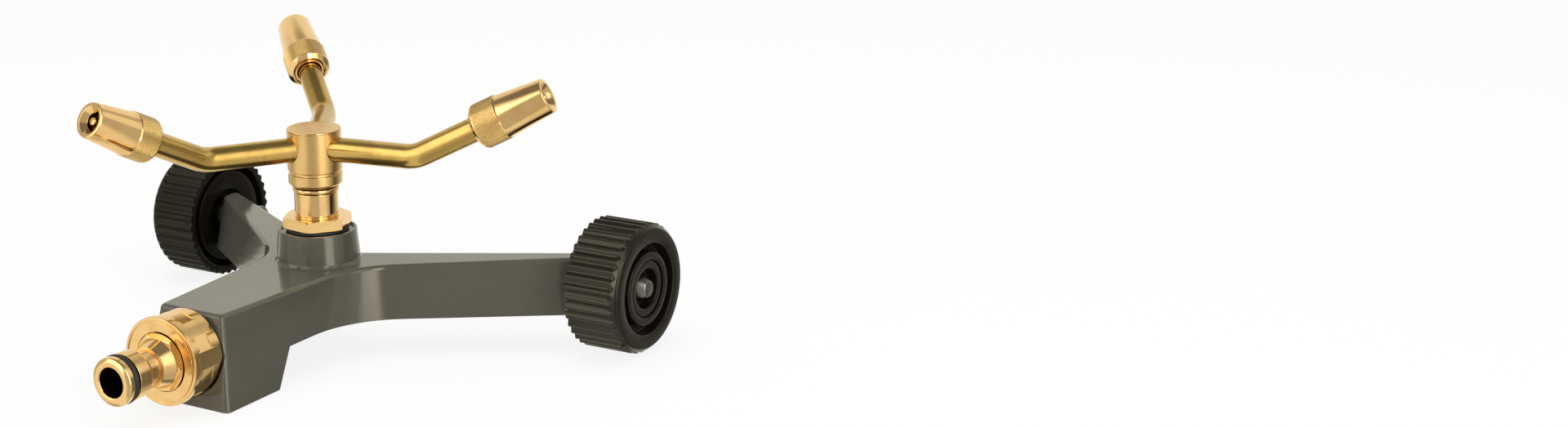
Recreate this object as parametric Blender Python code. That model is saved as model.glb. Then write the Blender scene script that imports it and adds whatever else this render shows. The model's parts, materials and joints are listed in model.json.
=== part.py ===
# Rotary garden sprinkler on a wheeled cast base.
# Metres, +Z up, the ground is z = 0 and the water inlet points along -Y.
# The origin lies on the ground, midway between the nose of the inlet and the back of the wheels.

from math import atan2, cos, pi, radians, sin, tan

import bmesh
import bpy
from mathutils import Matrix, Vector

# Clearances between separate pieces
GAP = 0.0003
RUNNING_GAP = 0.0008

# Wheels and axles
WHEEL_RADIUS = 0.02225
WHEEL_WIDTH = 0.0200
RIB_COUNT = 38
RIB_HEIGHT = 0.00075
RIB_CREST_SHARE = 0.46
RIB_FOOT_SHARE = 0.72
SHOULDER_LENGTH = 0.0020
SHOULDER_DROP = 0.0018
SHOULDER_ROUND_SHARE = 0.3
RIM_THICKNESS = 0.0030
INNER_GROOVE_WIDTH = 0.0025
INNER_GROOVE_DEPTH = 0.0090
HUB_RECESS_RADIUS = 0.0100
HUB_RECESS_DEPTH = 0.0060
HUB_RADIUS = 0.0062
HUB_SETBACK = 0.0006
OUTER_GROOVE_RADIUS = 0.0156
OUTER_GROOVE_WIDTH = 0.0030
OUTER_GROOVE_DEPTH = 0.0045
HUB_STEP_RADIUS = 0.0088
HUB_STEP = 0.0004
HEAD_WELL_RADIUS = 0.0066
HEAD_WELL_DEPTH = 0.0050
AXLE_RADIUS = 0.0030
AXLE_DEPTH = 0.0120
AXLE_BOSS_WALL = 0.0022
AXLE_BOSS_ROUND = 0.0010
AXLE_HEAD_RADIUS = 0.0045
AXLE_HEAD_RIM = 0.0012
AXLE_HEAD_DOME = 0.0024
AXLE_WASHER_RADIUS = 0.0060
AXLE_WASHER_THICKNESS = 0.0008

# Cast base seen from above: two wheel legs and the inlet leg
LEG_END_X = 0.0800
AXLE_Y = 0.0495
LEG_ROOT_FRONT_Y = -0.0163
LEG_ROOT_BACK_Y = 0.0075
LEG_TOP_END_HALF = 0.0038
LEG_BOTTOM_END_HALF = 0.0096
LEG_CORNER_RADIUS = 0.0018
INLET_ROOT_Y = 0.0330
INLET_TOP_ROOT_HALF = 0.0153
INLET_BOTTOM_ROOT_HALF = 0.0158
BLOCK_TOP_FRONT = 0.0676
BLOCK_BOTTOM_FRONT = 0.0704
BLOCK_TOP_HALF = 0.0131
BLOCK_BOTTOM_HALF = 0.0160
BLOCK_CORNER_RADIUS = 0.0021
CROTCH_TOP_RADIUS = 0.0300
CROTCH_BOTTOM_RADIUS = 0.0360
CROTCH_STEPS = 7
BASE_TOP_Z = 0.0310
BASE_BOTTOM_Z = 0.0125
BASE_EDGE_ROUND = 0.0014
FOOT_HALF = 0.0178
FOOT_FRONT = 0.0723
FOOT_REAR = 0.0455
FOOT_TOP_REAR = 0.0370
LEG_WALL = 0.0027
POCKET_START_X = 0.0230
POCKET_RIB = 0.0024
POCKET_CORNER_RADIUS = 0.0015

# Boss in the middle of the base, and its socket
DRUM_RADIUS = 0.0153
DRUM_BOTTOM_RISE = 0.0005
BOSS_FOOT_RADIUS = 0.0143
BOSS_TOP_RADIUS = 0.0134
BOSS_TOP_Z = 0.0417
BOSS_EDGE_ROUND = 0.0005
BOSS_FILLET = 0.0006
BOSS_RECESS_DEPTH = 0.0008
BOSS_RIM_WALL = 0.0009
SOCKET_DEPTH = 0.0149
STEM_RADIUS = 0.0080
STEM_LENGTH = 0.0150

# Water inlet
INLET_Z = 0.0178
WATER_BORE_RADIUS = 0.0032
NUT_SEAT = 0.0686
STUB_THREAD_RADIUS = 0.0109
STUB_LENGTH = 0.0081
STUB_BORE_RADIUS = 0.0060
STUB_BORE_DEPTH = 0.0140
SEAL_THICKNESS = 0.0018
NIPPLE_FLANGE_THICKNESS = 0.0018
NUT_LIP_THICKNESS = 0.0018
NUT_WALL = 0.0030
NUT_FLANGE_STEP = 0.0006
NUT_FLANGE_LENGTH = 0.0026
NUT_REAR_LENGTH = 0.0044
NUT_SETBACK = 0.0004
NUT_EDGE = 0.0004
NUT_GROOVE_INSET = 0.0010
NUT_GROOVE_WIDTH = 0.0005
NUT_GROOVE_DEPTH = 0.0005
NUT_FLAT_COUNT = 8
NUT_FLAT_INSET = 0.00015
NUT_FLAT_ANGLE = radians(5.7)
NIPPLE_LENGTH = 0.0237
NIPPLE_NOSE_RADIUS = 0.0080
NIPPLE_NOSE_BEVEL = 0.0012
NIPPLE_BORE_RADIUS = 0.0049
NIPPLE_RING_SETBACK = 0.0028
NIPPLE_RING_THICKNESS = 0.0022
NIPPLE_RING_STAND = 0.0002
NIPPLE_BARREL_LENGTH = 0.0107
NIPPLE_NECK_RADIUS = 0.0066
NIPPLE_NECK_LENGTH = 0.0053
NIPPLE_CONE_LENGTH = 0.0015
NIPPLE_HEX_RADIUS = 0.0096
NIPPLE_HEX_LENGTH = 0.0016
NIPPLE_HEX_ANGLE = radians(-5)

# Spindle: hexagon, column and journal
HEX_RADIUS = 0.0120
HEX_HEIGHT = 0.0038
HEX_ANGLE = radians(-8)
HEX_CHAMFER = 0.0005
GASKET_THICKNESS = 0.0011
GASKET_RADIUS = 0.0108
COLUMN_RADIUS = 0.00745
COLUMN_HEIGHT = 0.0070
JOURNAL_RADIUS = 0.0050
JOURNAL_END = 0.0012
SPINDLE_BORE_RADIUS = 0.0030
LOWER_WASHER_RADIUS = 0.0079
LOWER_WASHER_THICKNESS = 0.0017
CLIP_THICKNESS = 0.0010
CLIP_RADIUS = 0.0066
CLIP_GROOVE_DEPTH = 0.0005

# Rotor
ROTOR_RADIUS = 0.0092
ROTOR_WALL = 0.0019
ROTOR_HEIGHT = 0.0187
COLLAR_STEP = 0.0001
COLLAR_HEIGHT = 0.0049
COLLAR_CHAMFER = 0.0008
COLLAR_GROOVE_DEPTH = 0.0006
COLLAR_GROOVE_HEIGHT = 0.0010
BUSH_WALL = 0.0013
BUSH_LENGTH = 0.0085
UPPER_WASHER_THICKNESS = 0.0010
CAP_THICKNESS = 0.0014
CAP_SPIGOT_DEPTH = 0.0012
CAP_CHAMFER = 0.0003

# Arms, in the frame of one arm: X outwards, Z up
ARM_COUNT = 3
FIRST_ARM_ANGLE = radians(2.7)
ARM_RADIUS = 0.00415
ARM_WALL = 0.00105
ARM_ROOT_Z = 0.0698
ARM_BEND_REACH = 0.0405
ARM_BEND_RISE = 0.0011
ARM_BEND_RADIUS = 0.0130
ARM_RISE_ANGLE = radians(26.3)
ARM_SWEEP_ANGLE = radians(17.9)
ARM_TUBE_REACH = 0.0305

# Nozzles, measured along their own axis from the bend of the arm
NOZZLE_REAR = 0.0234
NOZZLE_TIP = 0.05105
KNURL_RADIUS = 0.0077
KNURL_LENGTH = 0.0114
KNURL_REAR_BEVEL = 0.0010
KNURL_FRONT_BEVEL = 0.0004
CONE_BASE_RADIUS = 0.0073
CONE_TIP_RADIUS = 0.0059
TIP_EDGE = 0.0003
MOUTH_RADIUS = 0.0046
MOUTH_DEPTH = 0.0018
MOUTH_HOLE_RADIUS = 0.0028
MOUTH_HOLE_LENGTH = 0.0022
NOZZLE_CONE_LENGTH = 0.0045
NOZZLE_RECESS_RADIUS = 0.0062
NOZZLE_RECESS_DEPTH = 0.0010
NOZZLE_STEM_WALL = 0.0008
NOZZLE_STEM_GRIP = 0.0060
NOZZLE_STEM_BORE_RADIUS = 0.0016
NOZZLE_STEM_LAND = 0.0022
NOZZLE_STEM_FRONT_LAND = 0.0014
NOZZLE_STEM_TAPER = 0.0022
NOZZLE_STEM_NECK_RADIUS = 0.0024
NOZZLE_STEM_NECK_LENGTH = 0.0028
CROSS_HOLE_RADIUS = 0.0008
PIN_RADIUS = 0.0013
PIN_SETBACK = 0.0013
NOZZLE_RING_THICKNESS = 0.0008
NOZZLE_RING_GROOVE_WIDTH = 0.0014
NOZZLE_RING_GROOVE_DEPTH = 0.0010

# Facets
FINE_STEPS = 32
STEPS = 24
COARSE_STEPS = 16
ARM_STEPS = 14
ARM_BEND_STEPS = 5
SEAL_STEPS = 8
DOME_STEPS = 3

# Heights and distances that follow from the sizes above
BOSS_RECESS_Z = BOSS_TOP_Z - BOSS_RECESS_DEPTH
GASKET_Z = BOSS_RECESS_Z + GAP
HEX_Z = GASKET_Z + GASKET_THICKNESS + GAP
COLUMN_Z = HEX_Z + HEX_HEIGHT
JOURNAL_Z = COLUMN_Z + COLUMN_HEIGHT
LOWER_WASHER_Z = JOURNAL_Z + GAP
ROTOR_Z = LOWER_WASHER_Z + LOWER_WASHER_THICKNESS + GAP
ROTOR_TOP_Z = ROTOR_Z + ROTOR_HEIGHT
BUSH_Z = ROTOR_Z + GAP
CHAMBER_Z = BUSH_Z + BUSH_LENGTH + GAP
UPPER_WASHER_Z = CHAMBER_Z + GAP
CLIP_Z = UPPER_WASHER_Z + UPPER_WASHER_THICKNESS + GAP
JOURNAL_TOP_Z = CLIP_Z + CLIP_THICKNESS + JOURNAL_END
BUSH_BORE_RADIUS = JOURNAL_RADIUS + GAP
BUSH_RADIUS = BUSH_BORE_RADIUS + BUSH_WALL
CHAMBER_RADIUS = ROTOR_RADIUS - ROTOR_WALL
CAP_Z = ROTOR_TOP_Z + GAP
ARM_SOCKET_RADIUS = ARM_RADIUS + GAP
ARM_ROOT_REACH = CHAMBER_RADIUS + GAP

STUB_END = NUT_SEAT + STUB_LENGTH
SEAL_START = STUB_END + GAP
NIPPLE_FLANGE_START = SEAL_START + SEAL_THICKNESS + GAP
NUT_LIP_START = NIPPLE_FLANGE_START + NIPPLE_FLANGE_THICKNESS + GAP
NUT_FRONT = NUT_LIP_START + NUT_LIP_THICKNESS
NUT_REAR = NUT_SEAT + NUT_SETBACK
NUT_BORE_RADIUS = STUB_THREAD_RADIUS + GAP
NUT_BODY_RADIUS = NUT_BORE_RADIUS + NUT_WALL
NOSE = NUT_FRONT + NIPPLE_LENGTH

WHEEL_INNER_X = LEG_END_X + RUNNING_GAP
HUB_FACE_X = WHEEL_INNER_X + HUB_SETBACK
HEAD_WELL_X = WHEEL_INNER_X + WHEEL_WIDTH - HEAD_WELL_DEPTH
AXLE_BORE_RADIUS = AXLE_RADIUS + GAP

ROTOR_Y = (NOSE - AXLE_Y - WHEEL_RADIUS) / 2


def clear_scene():
    for thing in list(bpy.data.objects):
        bpy.data.objects.remove(thing, do_unlink=True)


def make_material(name, color, roughness, metallic):
    material = bpy.data.materials.new(name)
    material.use_nodes = True
    shader = material.node_tree.nodes["Principled BSDF"]
    shader.inputs["Base Color"].default_value = (*color, 1)
    shader.inputs["Roughness"].default_value = roughness
    shader.inputs["Metallic"].default_value = metallic
    return material


def make_empty(name, parent=None, location=(0, 0, 0), rotation=(0, 0, 0)):
    empty = bpy.data.objects.new(name, None)
    empty.empty_display_size = 0.01
    empty.location = location
    empty.rotation_euler = rotation
    empty.parent = parent
    bpy.context.scene.collection.objects.link(empty)
    return empty


def make_object(name, mesh, parent, material=None, location=(0, 0, 0), rotation=(0, 0, 0)):
    piece = bpy.data.objects.new(name, mesh)
    piece.location = location
    piece.rotation_euler = rotation
    piece.parent = parent
    if material is not None and not mesh.materials:
        mesh.materials.append(material)
    bpy.context.scene.collection.objects.link(piece)
    return piece


def make_cutter(name, mesh, parent, location=(0, 0, 0), rotation=(0, 0, 0)):
    cutter = make_object(name, mesh, parent, None, location, rotation)
    cutter.hide_render = True
    cutter.display_type = "WIRE"
    return cutter


def combine(piece, other, operation):
    modifier = piece.modifiers.new(other.name, "BOOLEAN")
    modifier.operation = operation
    modifier.object = other
    modifier.solver = "EXACT"


def finish_mesh(name, bm, sharp_angle=radians(32)):
    """Faces turned outwards, smooth shading broken at the hard edges."""
    bmesh.ops.recalc_face_normals(bm, faces=bm.faces[:])
    if bm.calc_volume(signed=True) < 0:
        bmesh.ops.reverse_faces(bm, faces=bm.faces[:])
    mesh = bpy.data.meshes.new(name)
    bm.to_mesh(mesh)
    bm.free()
    mesh.shade_smooth()
    mesh.set_sharp_from_angle(angle=sharp_angle)
    return mesh


def rounded(corners, steps=2):
    """Outline through corners: (x, y) stays sharp, (x, y, radius) becomes an arc of steps chords.
    A fourth value gives that arc its own number of chords."""
    outline = []
    count = len(corners)
    for index, corner in enumerate(corners):
        here = Vector(corner[:2])
        if len(corner) == 2:
            outline.append(here)
            continue
        radius = corner[2]
        chords = corner[3] if len(corner) > 3 else steps
        to_last = (Vector(corners[index - 1][:2]) - here).normalized()
        to_next = (Vector(corners[(index + 1) % count][:2]) - here).normalized()
        half_angle = to_last.angle(to_next) / 2
        center = here + (to_last + to_next).normalized() * radius / sin(half_angle)
        start = here + to_last * radius / tan(half_angle) - center
        end = here + to_next * radius / tan(half_angle) - center
        start_angle = atan2(start.y, start.x)
        sweep = (atan2(end.y, end.x) - start_angle + pi) % (2 * pi) - pi
        for step in range(chords + 1):
            angle = start_angle + sweep * step / chords
            outline.append(center + Vector((cos(angle), sin(angle))) * radius)
    return outline


def turned(name, profile, steps):
    """Body of revolution about Z from (radius, height) points.
    A profile that starts and ends on the axis is left open there, any other is closed."""
    bm = bmesh.new()
    points = [bm.verts.new((radius, 0, height)) for radius, height in profile]
    edges = [bm.edges.new(pair) for pair in zip(points, points[1:])]
    if profile[0][0] > 0:
        edges.append(bm.edges.new((points[-1], points[0])))
    bmesh.ops.spin(bm, geom=points + edges, cent=(0, 0, 0), axis=(0, 0, 1),
                   angle=2 * pi, steps=steps, use_merge=True)
    bmesh.ops.remove_doubles(bm, verts=bm.verts[:], dist=1e-7)
    return finish_mesh(name, bm)


def ring(name, inner, outer, bottom, height, steps):
    """Flat washer about Z."""
    top = bottom + height
    return turned(name, [(inner, bottom), (outer, bottom), (outer, top), (inner, top)], steps)


def torus(name, center_radius, tube_radius, height, steps, tube_steps):
    turns = [2 * pi * step / tube_steps for step in range(tube_steps)]
    profile = [(center_radius + tube_radius * cos(turn), height + tube_radius * sin(turn))
               for turn in turns]
    return turned(name, profile, steps)


def cylinder(name, radius, bottom, top, steps):
    return turned(name, [(0, bottom), (radius, bottom), (radius, top), (0, top)], steps)


def lofted(lower, upper, lower_z, upper_z):
    """Solid between two outlines with the same number of points."""
    bm = bmesh.new()
    low = [bm.verts.new((*point, lower_z)) for point in lower]
    high = [bm.verts.new((*point, upper_z)) for point in upper]
    count = len(low)
    for index in range(count):
        after = (index + 1) % count
        bm.faces.new((low[index], low[after], high[after], high[index]))
    bm.faces.new(low)
    bm.faces.new(high)
    return bm


def mirrored_outline(right, middle):
    """Outline from its right half, front to back, and the point where it crosses x = 0 at the back."""
    left = [(-corner[0], *corner[1:]) for corner in reversed(right)]
    return right + [middle] + left


def leg_front_y(x, end_half):
    """Front edge of the right wheel leg, before the fillet at its root."""
    rise = AXLE_Y - end_half - LEG_ROOT_FRONT_Y
    return LEG_ROOT_FRONT_Y + rise * x / LEG_END_X


def leg_back_y(x, end_half):
    rise = AXLE_Y + end_half - LEG_ROOT_BACK_Y
    return LEG_ROOT_BACK_Y + rise * x / LEG_END_X


def base_outline(front, block_half, root_half, end_half, crotch_radius):
    """Outline at one height. The inlet leg widens a little from the block to its root, and a
    fillet joins its side to the front edge of the wheel leg."""
    side_slope = (root_half - block_half) / (front - INLET_ROOT_Y)
    leg_slope = (AXLE_Y - end_half - LEG_ROOT_FRONT_Y) / LEG_END_X
    side_at_zero = root_half + side_slope * INLET_ROOT_Y
    crotch_x = (side_at_zero + side_slope * LEG_ROOT_FRONT_Y) / (1 - side_slope * leg_slope)
    right = [
        (block_half, -front, BLOCK_CORNER_RADIUS),
        (side_at_zero - side_slope * FOOT_TOP_REAR, -FOOT_TOP_REAR),
        (crotch_x, leg_front_y(crotch_x, end_half), crotch_radius, CROTCH_STEPS),
        (LEG_END_X, AXLE_Y - end_half, LEG_CORNER_RADIUS),
        (LEG_END_X, AXLE_Y + end_half, LEG_CORNER_RADIUS),
    ]
    return rounded(mirrored_outline(right, (0, LEG_ROOT_BACK_Y)))


def base_body():
    """Three drafted legs, with the front of the inlet leg drawn down to the ground as a foot."""
    lower = base_outline(BLOCK_BOTTOM_FRONT, BLOCK_BOTTOM_HALF, INLET_BOTTOM_ROOT_HALF,
                         LEG_BOTTOM_END_HALF, CROTCH_BOTTOM_RADIUS)
    upper = base_outline(BLOCK_TOP_FRONT, BLOCK_TOP_HALF, INLET_TOP_ROOT_HALF,
                         LEG_TOP_END_HALF, CROTCH_TOP_RADIUS)
    bm = lofted(lower, upper, BASE_BOTTOM_Z, BASE_TOP_Z)
    bottom = min(bm.faces, key=lambda face: face.calc_center_median().z)
    rear_corners = [vert for vert in bottom.verts if abs(vert.co.y + FOOT_TOP_REAR) < 1e-6]
    bmesh.utils.face_split(bottom, *rear_corners)
    low_faces = [face for face in bm.faces if all(vert.co.z < BASE_BOTTOM_Z + 1e-6
                                                  for vert in face.verts)]
    foot = min(low_faces, key=lambda face: face.calc_center_median().y)
    extruded = bmesh.ops.extrude_discrete_faces(bm, faces=[foot])
    stretch = (FOOT_FRONT - FOOT_REAR) / (BLOCK_BOTTOM_FRONT - FOOT_TOP_REAR)
    for vert in extruded["faces"][0].verts:
        vert.co.x *= FOOT_HALF / BLOCK_BOTTOM_HALF
        vert.co.y = (vert.co.y + FOOT_TOP_REAR) * stretch - FOOT_REAR
        vert.co.z = 0
    bm.normal_update()
    top_edges = [edge for edge in bm.edges
                 if all(abs(vert.co.z - BASE_TOP_Z) < 1e-6 for vert in edge.verts)]
    bmesh.ops.bevel(bm, geom=top_edges, offset=BASE_EDGE_ROUND, segments=2, profile=0.5,
                    affect="EDGES")
    return finish_mesh("base_casting", bm)


def pocket_mesh(start_x, end_x):
    """Core that hollows the right wheel leg from below between two distances from the middle."""
    def outline(end_half):
        front = LEG_WALL / cos(atan2(leg_front_y(1, end_half) - leg_front_y(0, end_half), 1))
        back = LEG_WALL / cos(atan2(leg_back_y(1, end_half) - leg_back_y(0, end_half), 1))
        return rounded([
            (start_x, leg_front_y(start_x, end_half) + front, POCKET_CORNER_RADIUS),
            (end_x, leg_front_y(end_x, end_half) + front, POCKET_CORNER_RADIUS),
            (end_x, leg_back_y(end_x, end_half) - back, POCKET_CORNER_RADIUS),
            (start_x, leg_back_y(start_x, end_half) - back, POCKET_CORNER_RADIUS),
        ])
    roof_z = BASE_TOP_Z - LEG_WALL
    share = (roof_z - BASE_BOTTOM_Z) / (BASE_TOP_Z - BASE_BOTTOM_Z)
    roof_half = LEG_BOTTOM_END_HALF + (LEG_TOP_END_HALF - LEG_BOTTOM_END_HALF) * share
    bm = lofted(outline(LEG_BOTTOM_END_HALF), outline(roof_half), BASE_BOTTOM_Z, roof_z)
    for vert in bm.verts:
        if vert.co.z < BASE_BOTTOM_Z + 1e-6:
            vert.co.z -= LEG_WALL
    return finish_mesh("pocket", bm)


def make_base(root, paint):
    casting = make_object("base_casting", base_body(), root, paint)
    to_front = (pi / 2, 0, 0)
    at_inlet = (0, 0, INLET_Z)
    drum_z = BASE_BOTTOM_Z + DRUM_BOTTOM_RISE
    boss_edge = BOSS_TOP_RADIUS - BOSS_EDGE_ROUND
    boss = turned("boss", [
        (0, drum_z), (DRUM_RADIUS, drum_z), (BOSS_FOOT_RADIUS + BOSS_FILLET, BASE_TOP_Z),
        (BOSS_FOOT_RADIUS, BASE_TOP_Z + BOSS_FILLET),
        (BOSS_TOP_RADIUS, BOSS_TOP_Z - BOSS_EDGE_ROUND), (boss_edge, BOSS_TOP_Z), (0, BOSS_TOP_Z),
    ], FINE_STEPS)
    combine(casting, make_cutter("boss", boss, root), "UNION")
    seat = cylinder("nut_seat", NUT_BODY_RADIUS + NUT_FLANGE_STEP, NUT_SEAT, NOSE, FINE_STEPS)
    combine(casting, make_cutter("nut_seat", seat, root, at_inlet, to_front), "DIFFERENCE")
    stub = cylinder("stub", STUB_THREAD_RADIUS, NUT_SEAT - STUB_LENGTH, STUB_END, FINE_STEPS)
    combine(casting, make_cutter("stub", stub, root, at_inlet, to_front), "UNION")

    boss_radius = AXLE_BORE_RADIUS + AXLE_BOSS_WALL
    boss_end = AXLE_DEPTH + AXLE_BOSS_WALL
    axle_boss = turned("axle_boss", [
        (0, -boss_end), (boss_radius - AXLE_BOSS_ROUND, -boss_end),
        (boss_radius, AXLE_BOSS_ROUND - boss_end), (boss_radius, -AXLE_BOSS_WALL / 2),
        (0, -AXLE_BOSS_WALL / 2),
    ], COARSE_STEPS)
    sides = ((1, "right"), (-1, "left"))
    for side, name in sides:
        place = (side * LEG_END_X, AXLE_Y, WHEEL_RADIUS)
        adder = make_cutter("axle_boss_" + name, axle_boss, root, place, (0, side * pi / 2, 0))
        combine(casting, adder, "UNION")

    socket = turned("socket", [
        (0, INLET_Z), (WATER_BORE_RADIUS, INLET_Z),
        (WATER_BORE_RADIUS, BOSS_RECESS_Z - SOCKET_DEPTH),
        (STEM_RADIUS + GAP, BOSS_RECESS_Z - SOCKET_DEPTH),
        (STEM_RADIUS + GAP, BOSS_RECESS_Z),
        (BOSS_TOP_RADIUS - BOSS_RIM_WALL, BOSS_RECESS_Z),
        (BOSS_TOP_RADIUS - BOSS_RIM_WALL, BOSS_TOP_Z + BOSS_RECESS_DEPTH),
        (0, BOSS_TOP_Z + BOSS_RECESS_DEPTH),
    ], STEPS)
    combine(casting, make_cutter("socket", socket, root), "DIFFERENCE")
    bore_step = STUB_END - STUB_BORE_DEPTH
    passage = turned("passage", [
        (0, -WATER_BORE_RADIUS), (WATER_BORE_RADIUS, -WATER_BORE_RADIUS),
        (WATER_BORE_RADIUS, bore_step), (STUB_BORE_RADIUS, bore_step),
        (STUB_BORE_RADIUS, STUB_END + STUB_LENGTH), (0, STUB_END + STUB_LENGTH),
    ], STEPS)
    combine(casting, make_cutter("passage", passage, root, at_inlet, to_front), "DIFFERENCE")

    hole = cylinder("axle_hole", AXLE_BORE_RADIUS, -AXLE_DEPTH - GAP, AXLE_DEPTH, COARSE_STEPS)
    pocket_end = LEG_END_X - AXLE_DEPTH - LEG_WALL
    pocket_length = (pocket_end - POCKET_START_X - POCKET_RIB) / 2
    inner_pocket = pocket_mesh(POCKET_START_X, POCKET_START_X + pocket_length)
    outer_pocket = pocket_mesh(pocket_end - pocket_length, pocket_end)
    for side, name in sides:
        place = (side * LEG_END_X, AXLE_Y, WHEEL_RADIUS)
        cutter = make_cutter("axle_hole_" + name, hole, root, place, (0, side * pi / 2, 0))
        combine(casting, cutter, "DIFFERENCE")
        for mesh, part in ((inner_pocket, "inner"), (outer_pocket, "outer")):
            if side < 0:
                mesh = mesh.copy()
                mesh.transform(Matrix.Scale(-1, 4, (1, 0, 0)))
                mesh.flip_normals()
            cutter = make_cutter(f"{part}_pocket_{name}", mesh, root)
            combine(casting, cutter, "DIFFERENCE")


def make_inlet(root, brass, rubber):
    """Union nut, hose nipple and their seals, turned about the inlet axis."""
    axis = make_empty("inlet_axis", root, (0, 0, INLET_Z), (pi / 2, 0, 0))
    seal = ring("inlet_washer", STUB_BORE_RADIUS, STUB_THREAD_RADIUS, SEAL_START,
                SEAL_THICKNESS, STEPS)
    make_object("inlet_washer", seal, axis, rubber)

    flange_radius = NUT_BODY_RADIUS + NUT_FLANGE_STEP
    flange_rear = NUT_FRONT - NUT_FLANGE_LENGTH
    groove_outer = flange_radius - NUT_GROOVE_INSET
    groove_inner = groove_outer - NUT_GROOVE_WIDTH
    lip_radius = NIPPLE_HEX_RADIUS + GAP
    nut = turned("union_nut", [
        (NUT_BORE_RADIUS, NUT_REAR), (NUT_BODY_RADIUS - NUT_EDGE, NUT_REAR),
        (NUT_BODY_RADIUS, NUT_REAR + NUT_EDGE), (NUT_BODY_RADIUS, flange_rear),
        (flange_radius, flange_rear + NUT_EDGE), (flange_radius, NUT_FRONT - NUT_EDGE),
        (flange_radius - NUT_EDGE, NUT_FRONT), (groove_outer, NUT_FRONT),
        (groove_outer, NUT_FRONT - NUT_GROOVE_DEPTH), (groove_inner, NUT_FRONT - NUT_GROOVE_DEPTH),
        (groove_inner, NUT_FRONT), (lip_radius, NUT_FRONT),
        (lip_radius, NUT_LIP_START), (NUT_BORE_RADIUS, NUT_LIP_START),
    ], FINE_STEPS)
    union_nut = make_object("union_nut", nut, axis, brass)
    flat_start = NUT_REAR + NUT_REAR_LENGTH
    flats = ring("nut_flats", NUT_BODY_RADIUS - NUT_FLAT_INSET, 2 * flange_radius, flat_start,
                 flange_rear - flat_start, NUT_FLAT_COUNT)
    cutter = make_cutter("nut_flats", flats, axis, rotation=(0, 0, NUT_FLAT_ANGLE))
    combine(union_nut, cutter, "DIFFERENCE")

    ring_front = NOSE - NIPPLE_RING_SETBACK
    ring_rear = ring_front - NIPPLE_RING_THICKNESS - 2 * GAP
    ring_center = (ring_front + ring_rear) / 2
    ring_tube = NIPPLE_RING_THICKNESS / 2
    ring_radius = NIPPLE_NOSE_RADIUS + NIPPLE_RING_STAND - ring_tube
    groove_radius = ring_radius - ring_tube - GAP
    barrel_end = NOSE - NIPPLE_BARREL_LENGTH
    neck_front = barrel_end - NIPPLE_CONE_LENGTH
    neck_rear = neck_front - NIPPLE_NECK_LENGTH
    hex_front = NUT_FRONT + GAP + NIPPLE_HEX_LENGTH
    shoulder_radius = NIPPLE_HEX_RADIUS * cos(pi / 6)
    nipple = turned("inlet_nipple", [
        (0, NIPPLE_FLANGE_START), (NUT_BORE_RADIUS - GAP, NIPPLE_FLANGE_START),
        (NUT_BORE_RADIUS - GAP, NIPPLE_FLANGE_START + NIPPLE_FLANGE_THICKNESS),
        (NIPPLE_HEX_RADIUS, NIPPLE_FLANGE_START + NIPPLE_FLANGE_THICKNESS),
        (NIPPLE_HEX_RADIUS, NUT_FRONT + GAP), (shoulder_radius, NUT_FRONT + GAP),
        (shoulder_radius, hex_front), (NIPPLE_NECK_RADIUS, neck_rear),
        (NIPPLE_NECK_RADIUS, neck_front), (NIPPLE_NOSE_RADIUS, barrel_end),
        (NIPPLE_NOSE_RADIUS, ring_rear), (groove_radius, ring_rear),
        (groove_radius, ring_front), (NIPPLE_NOSE_RADIUS, ring_front),
        (NIPPLE_NOSE_RADIUS, NOSE - NIPPLE_NOSE_BEVEL),
        (NIPPLE_NOSE_RADIUS - NIPPLE_NOSE_BEVEL, NOSE), (0, NOSE),
    ], STEPS)
    nipple_object = make_object("inlet_nipple", nipple, axis, brass)
    hexagon = cylinder("nipple_hexagon", NIPPLE_HEX_RADIUS, NUT_FRONT - NUT_LIP_THICKNESS,
                       hex_front, 6)
    cutter = make_cutter("nipple_hexagon", hexagon, axis, rotation=(0, 0, NIPPLE_HEX_ANGLE))
    combine(nipple_object, cutter, "UNION")
    bore = cylinder("nipple_bore", NIPPLE_BORE_RADIUS, STUB_END, NOSE + STUB_LENGTH, STEPS)
    combine(nipple_object, make_cutter("nipple_bore", bore, axis), "DIFFERENCE")
    seal_ring = torus("nipple_oring", ring_radius, ring_tube, ring_center, STEPS, SEAL_STEPS)
    make_object("nipple_oring", seal_ring, axis, rubber)


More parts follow.
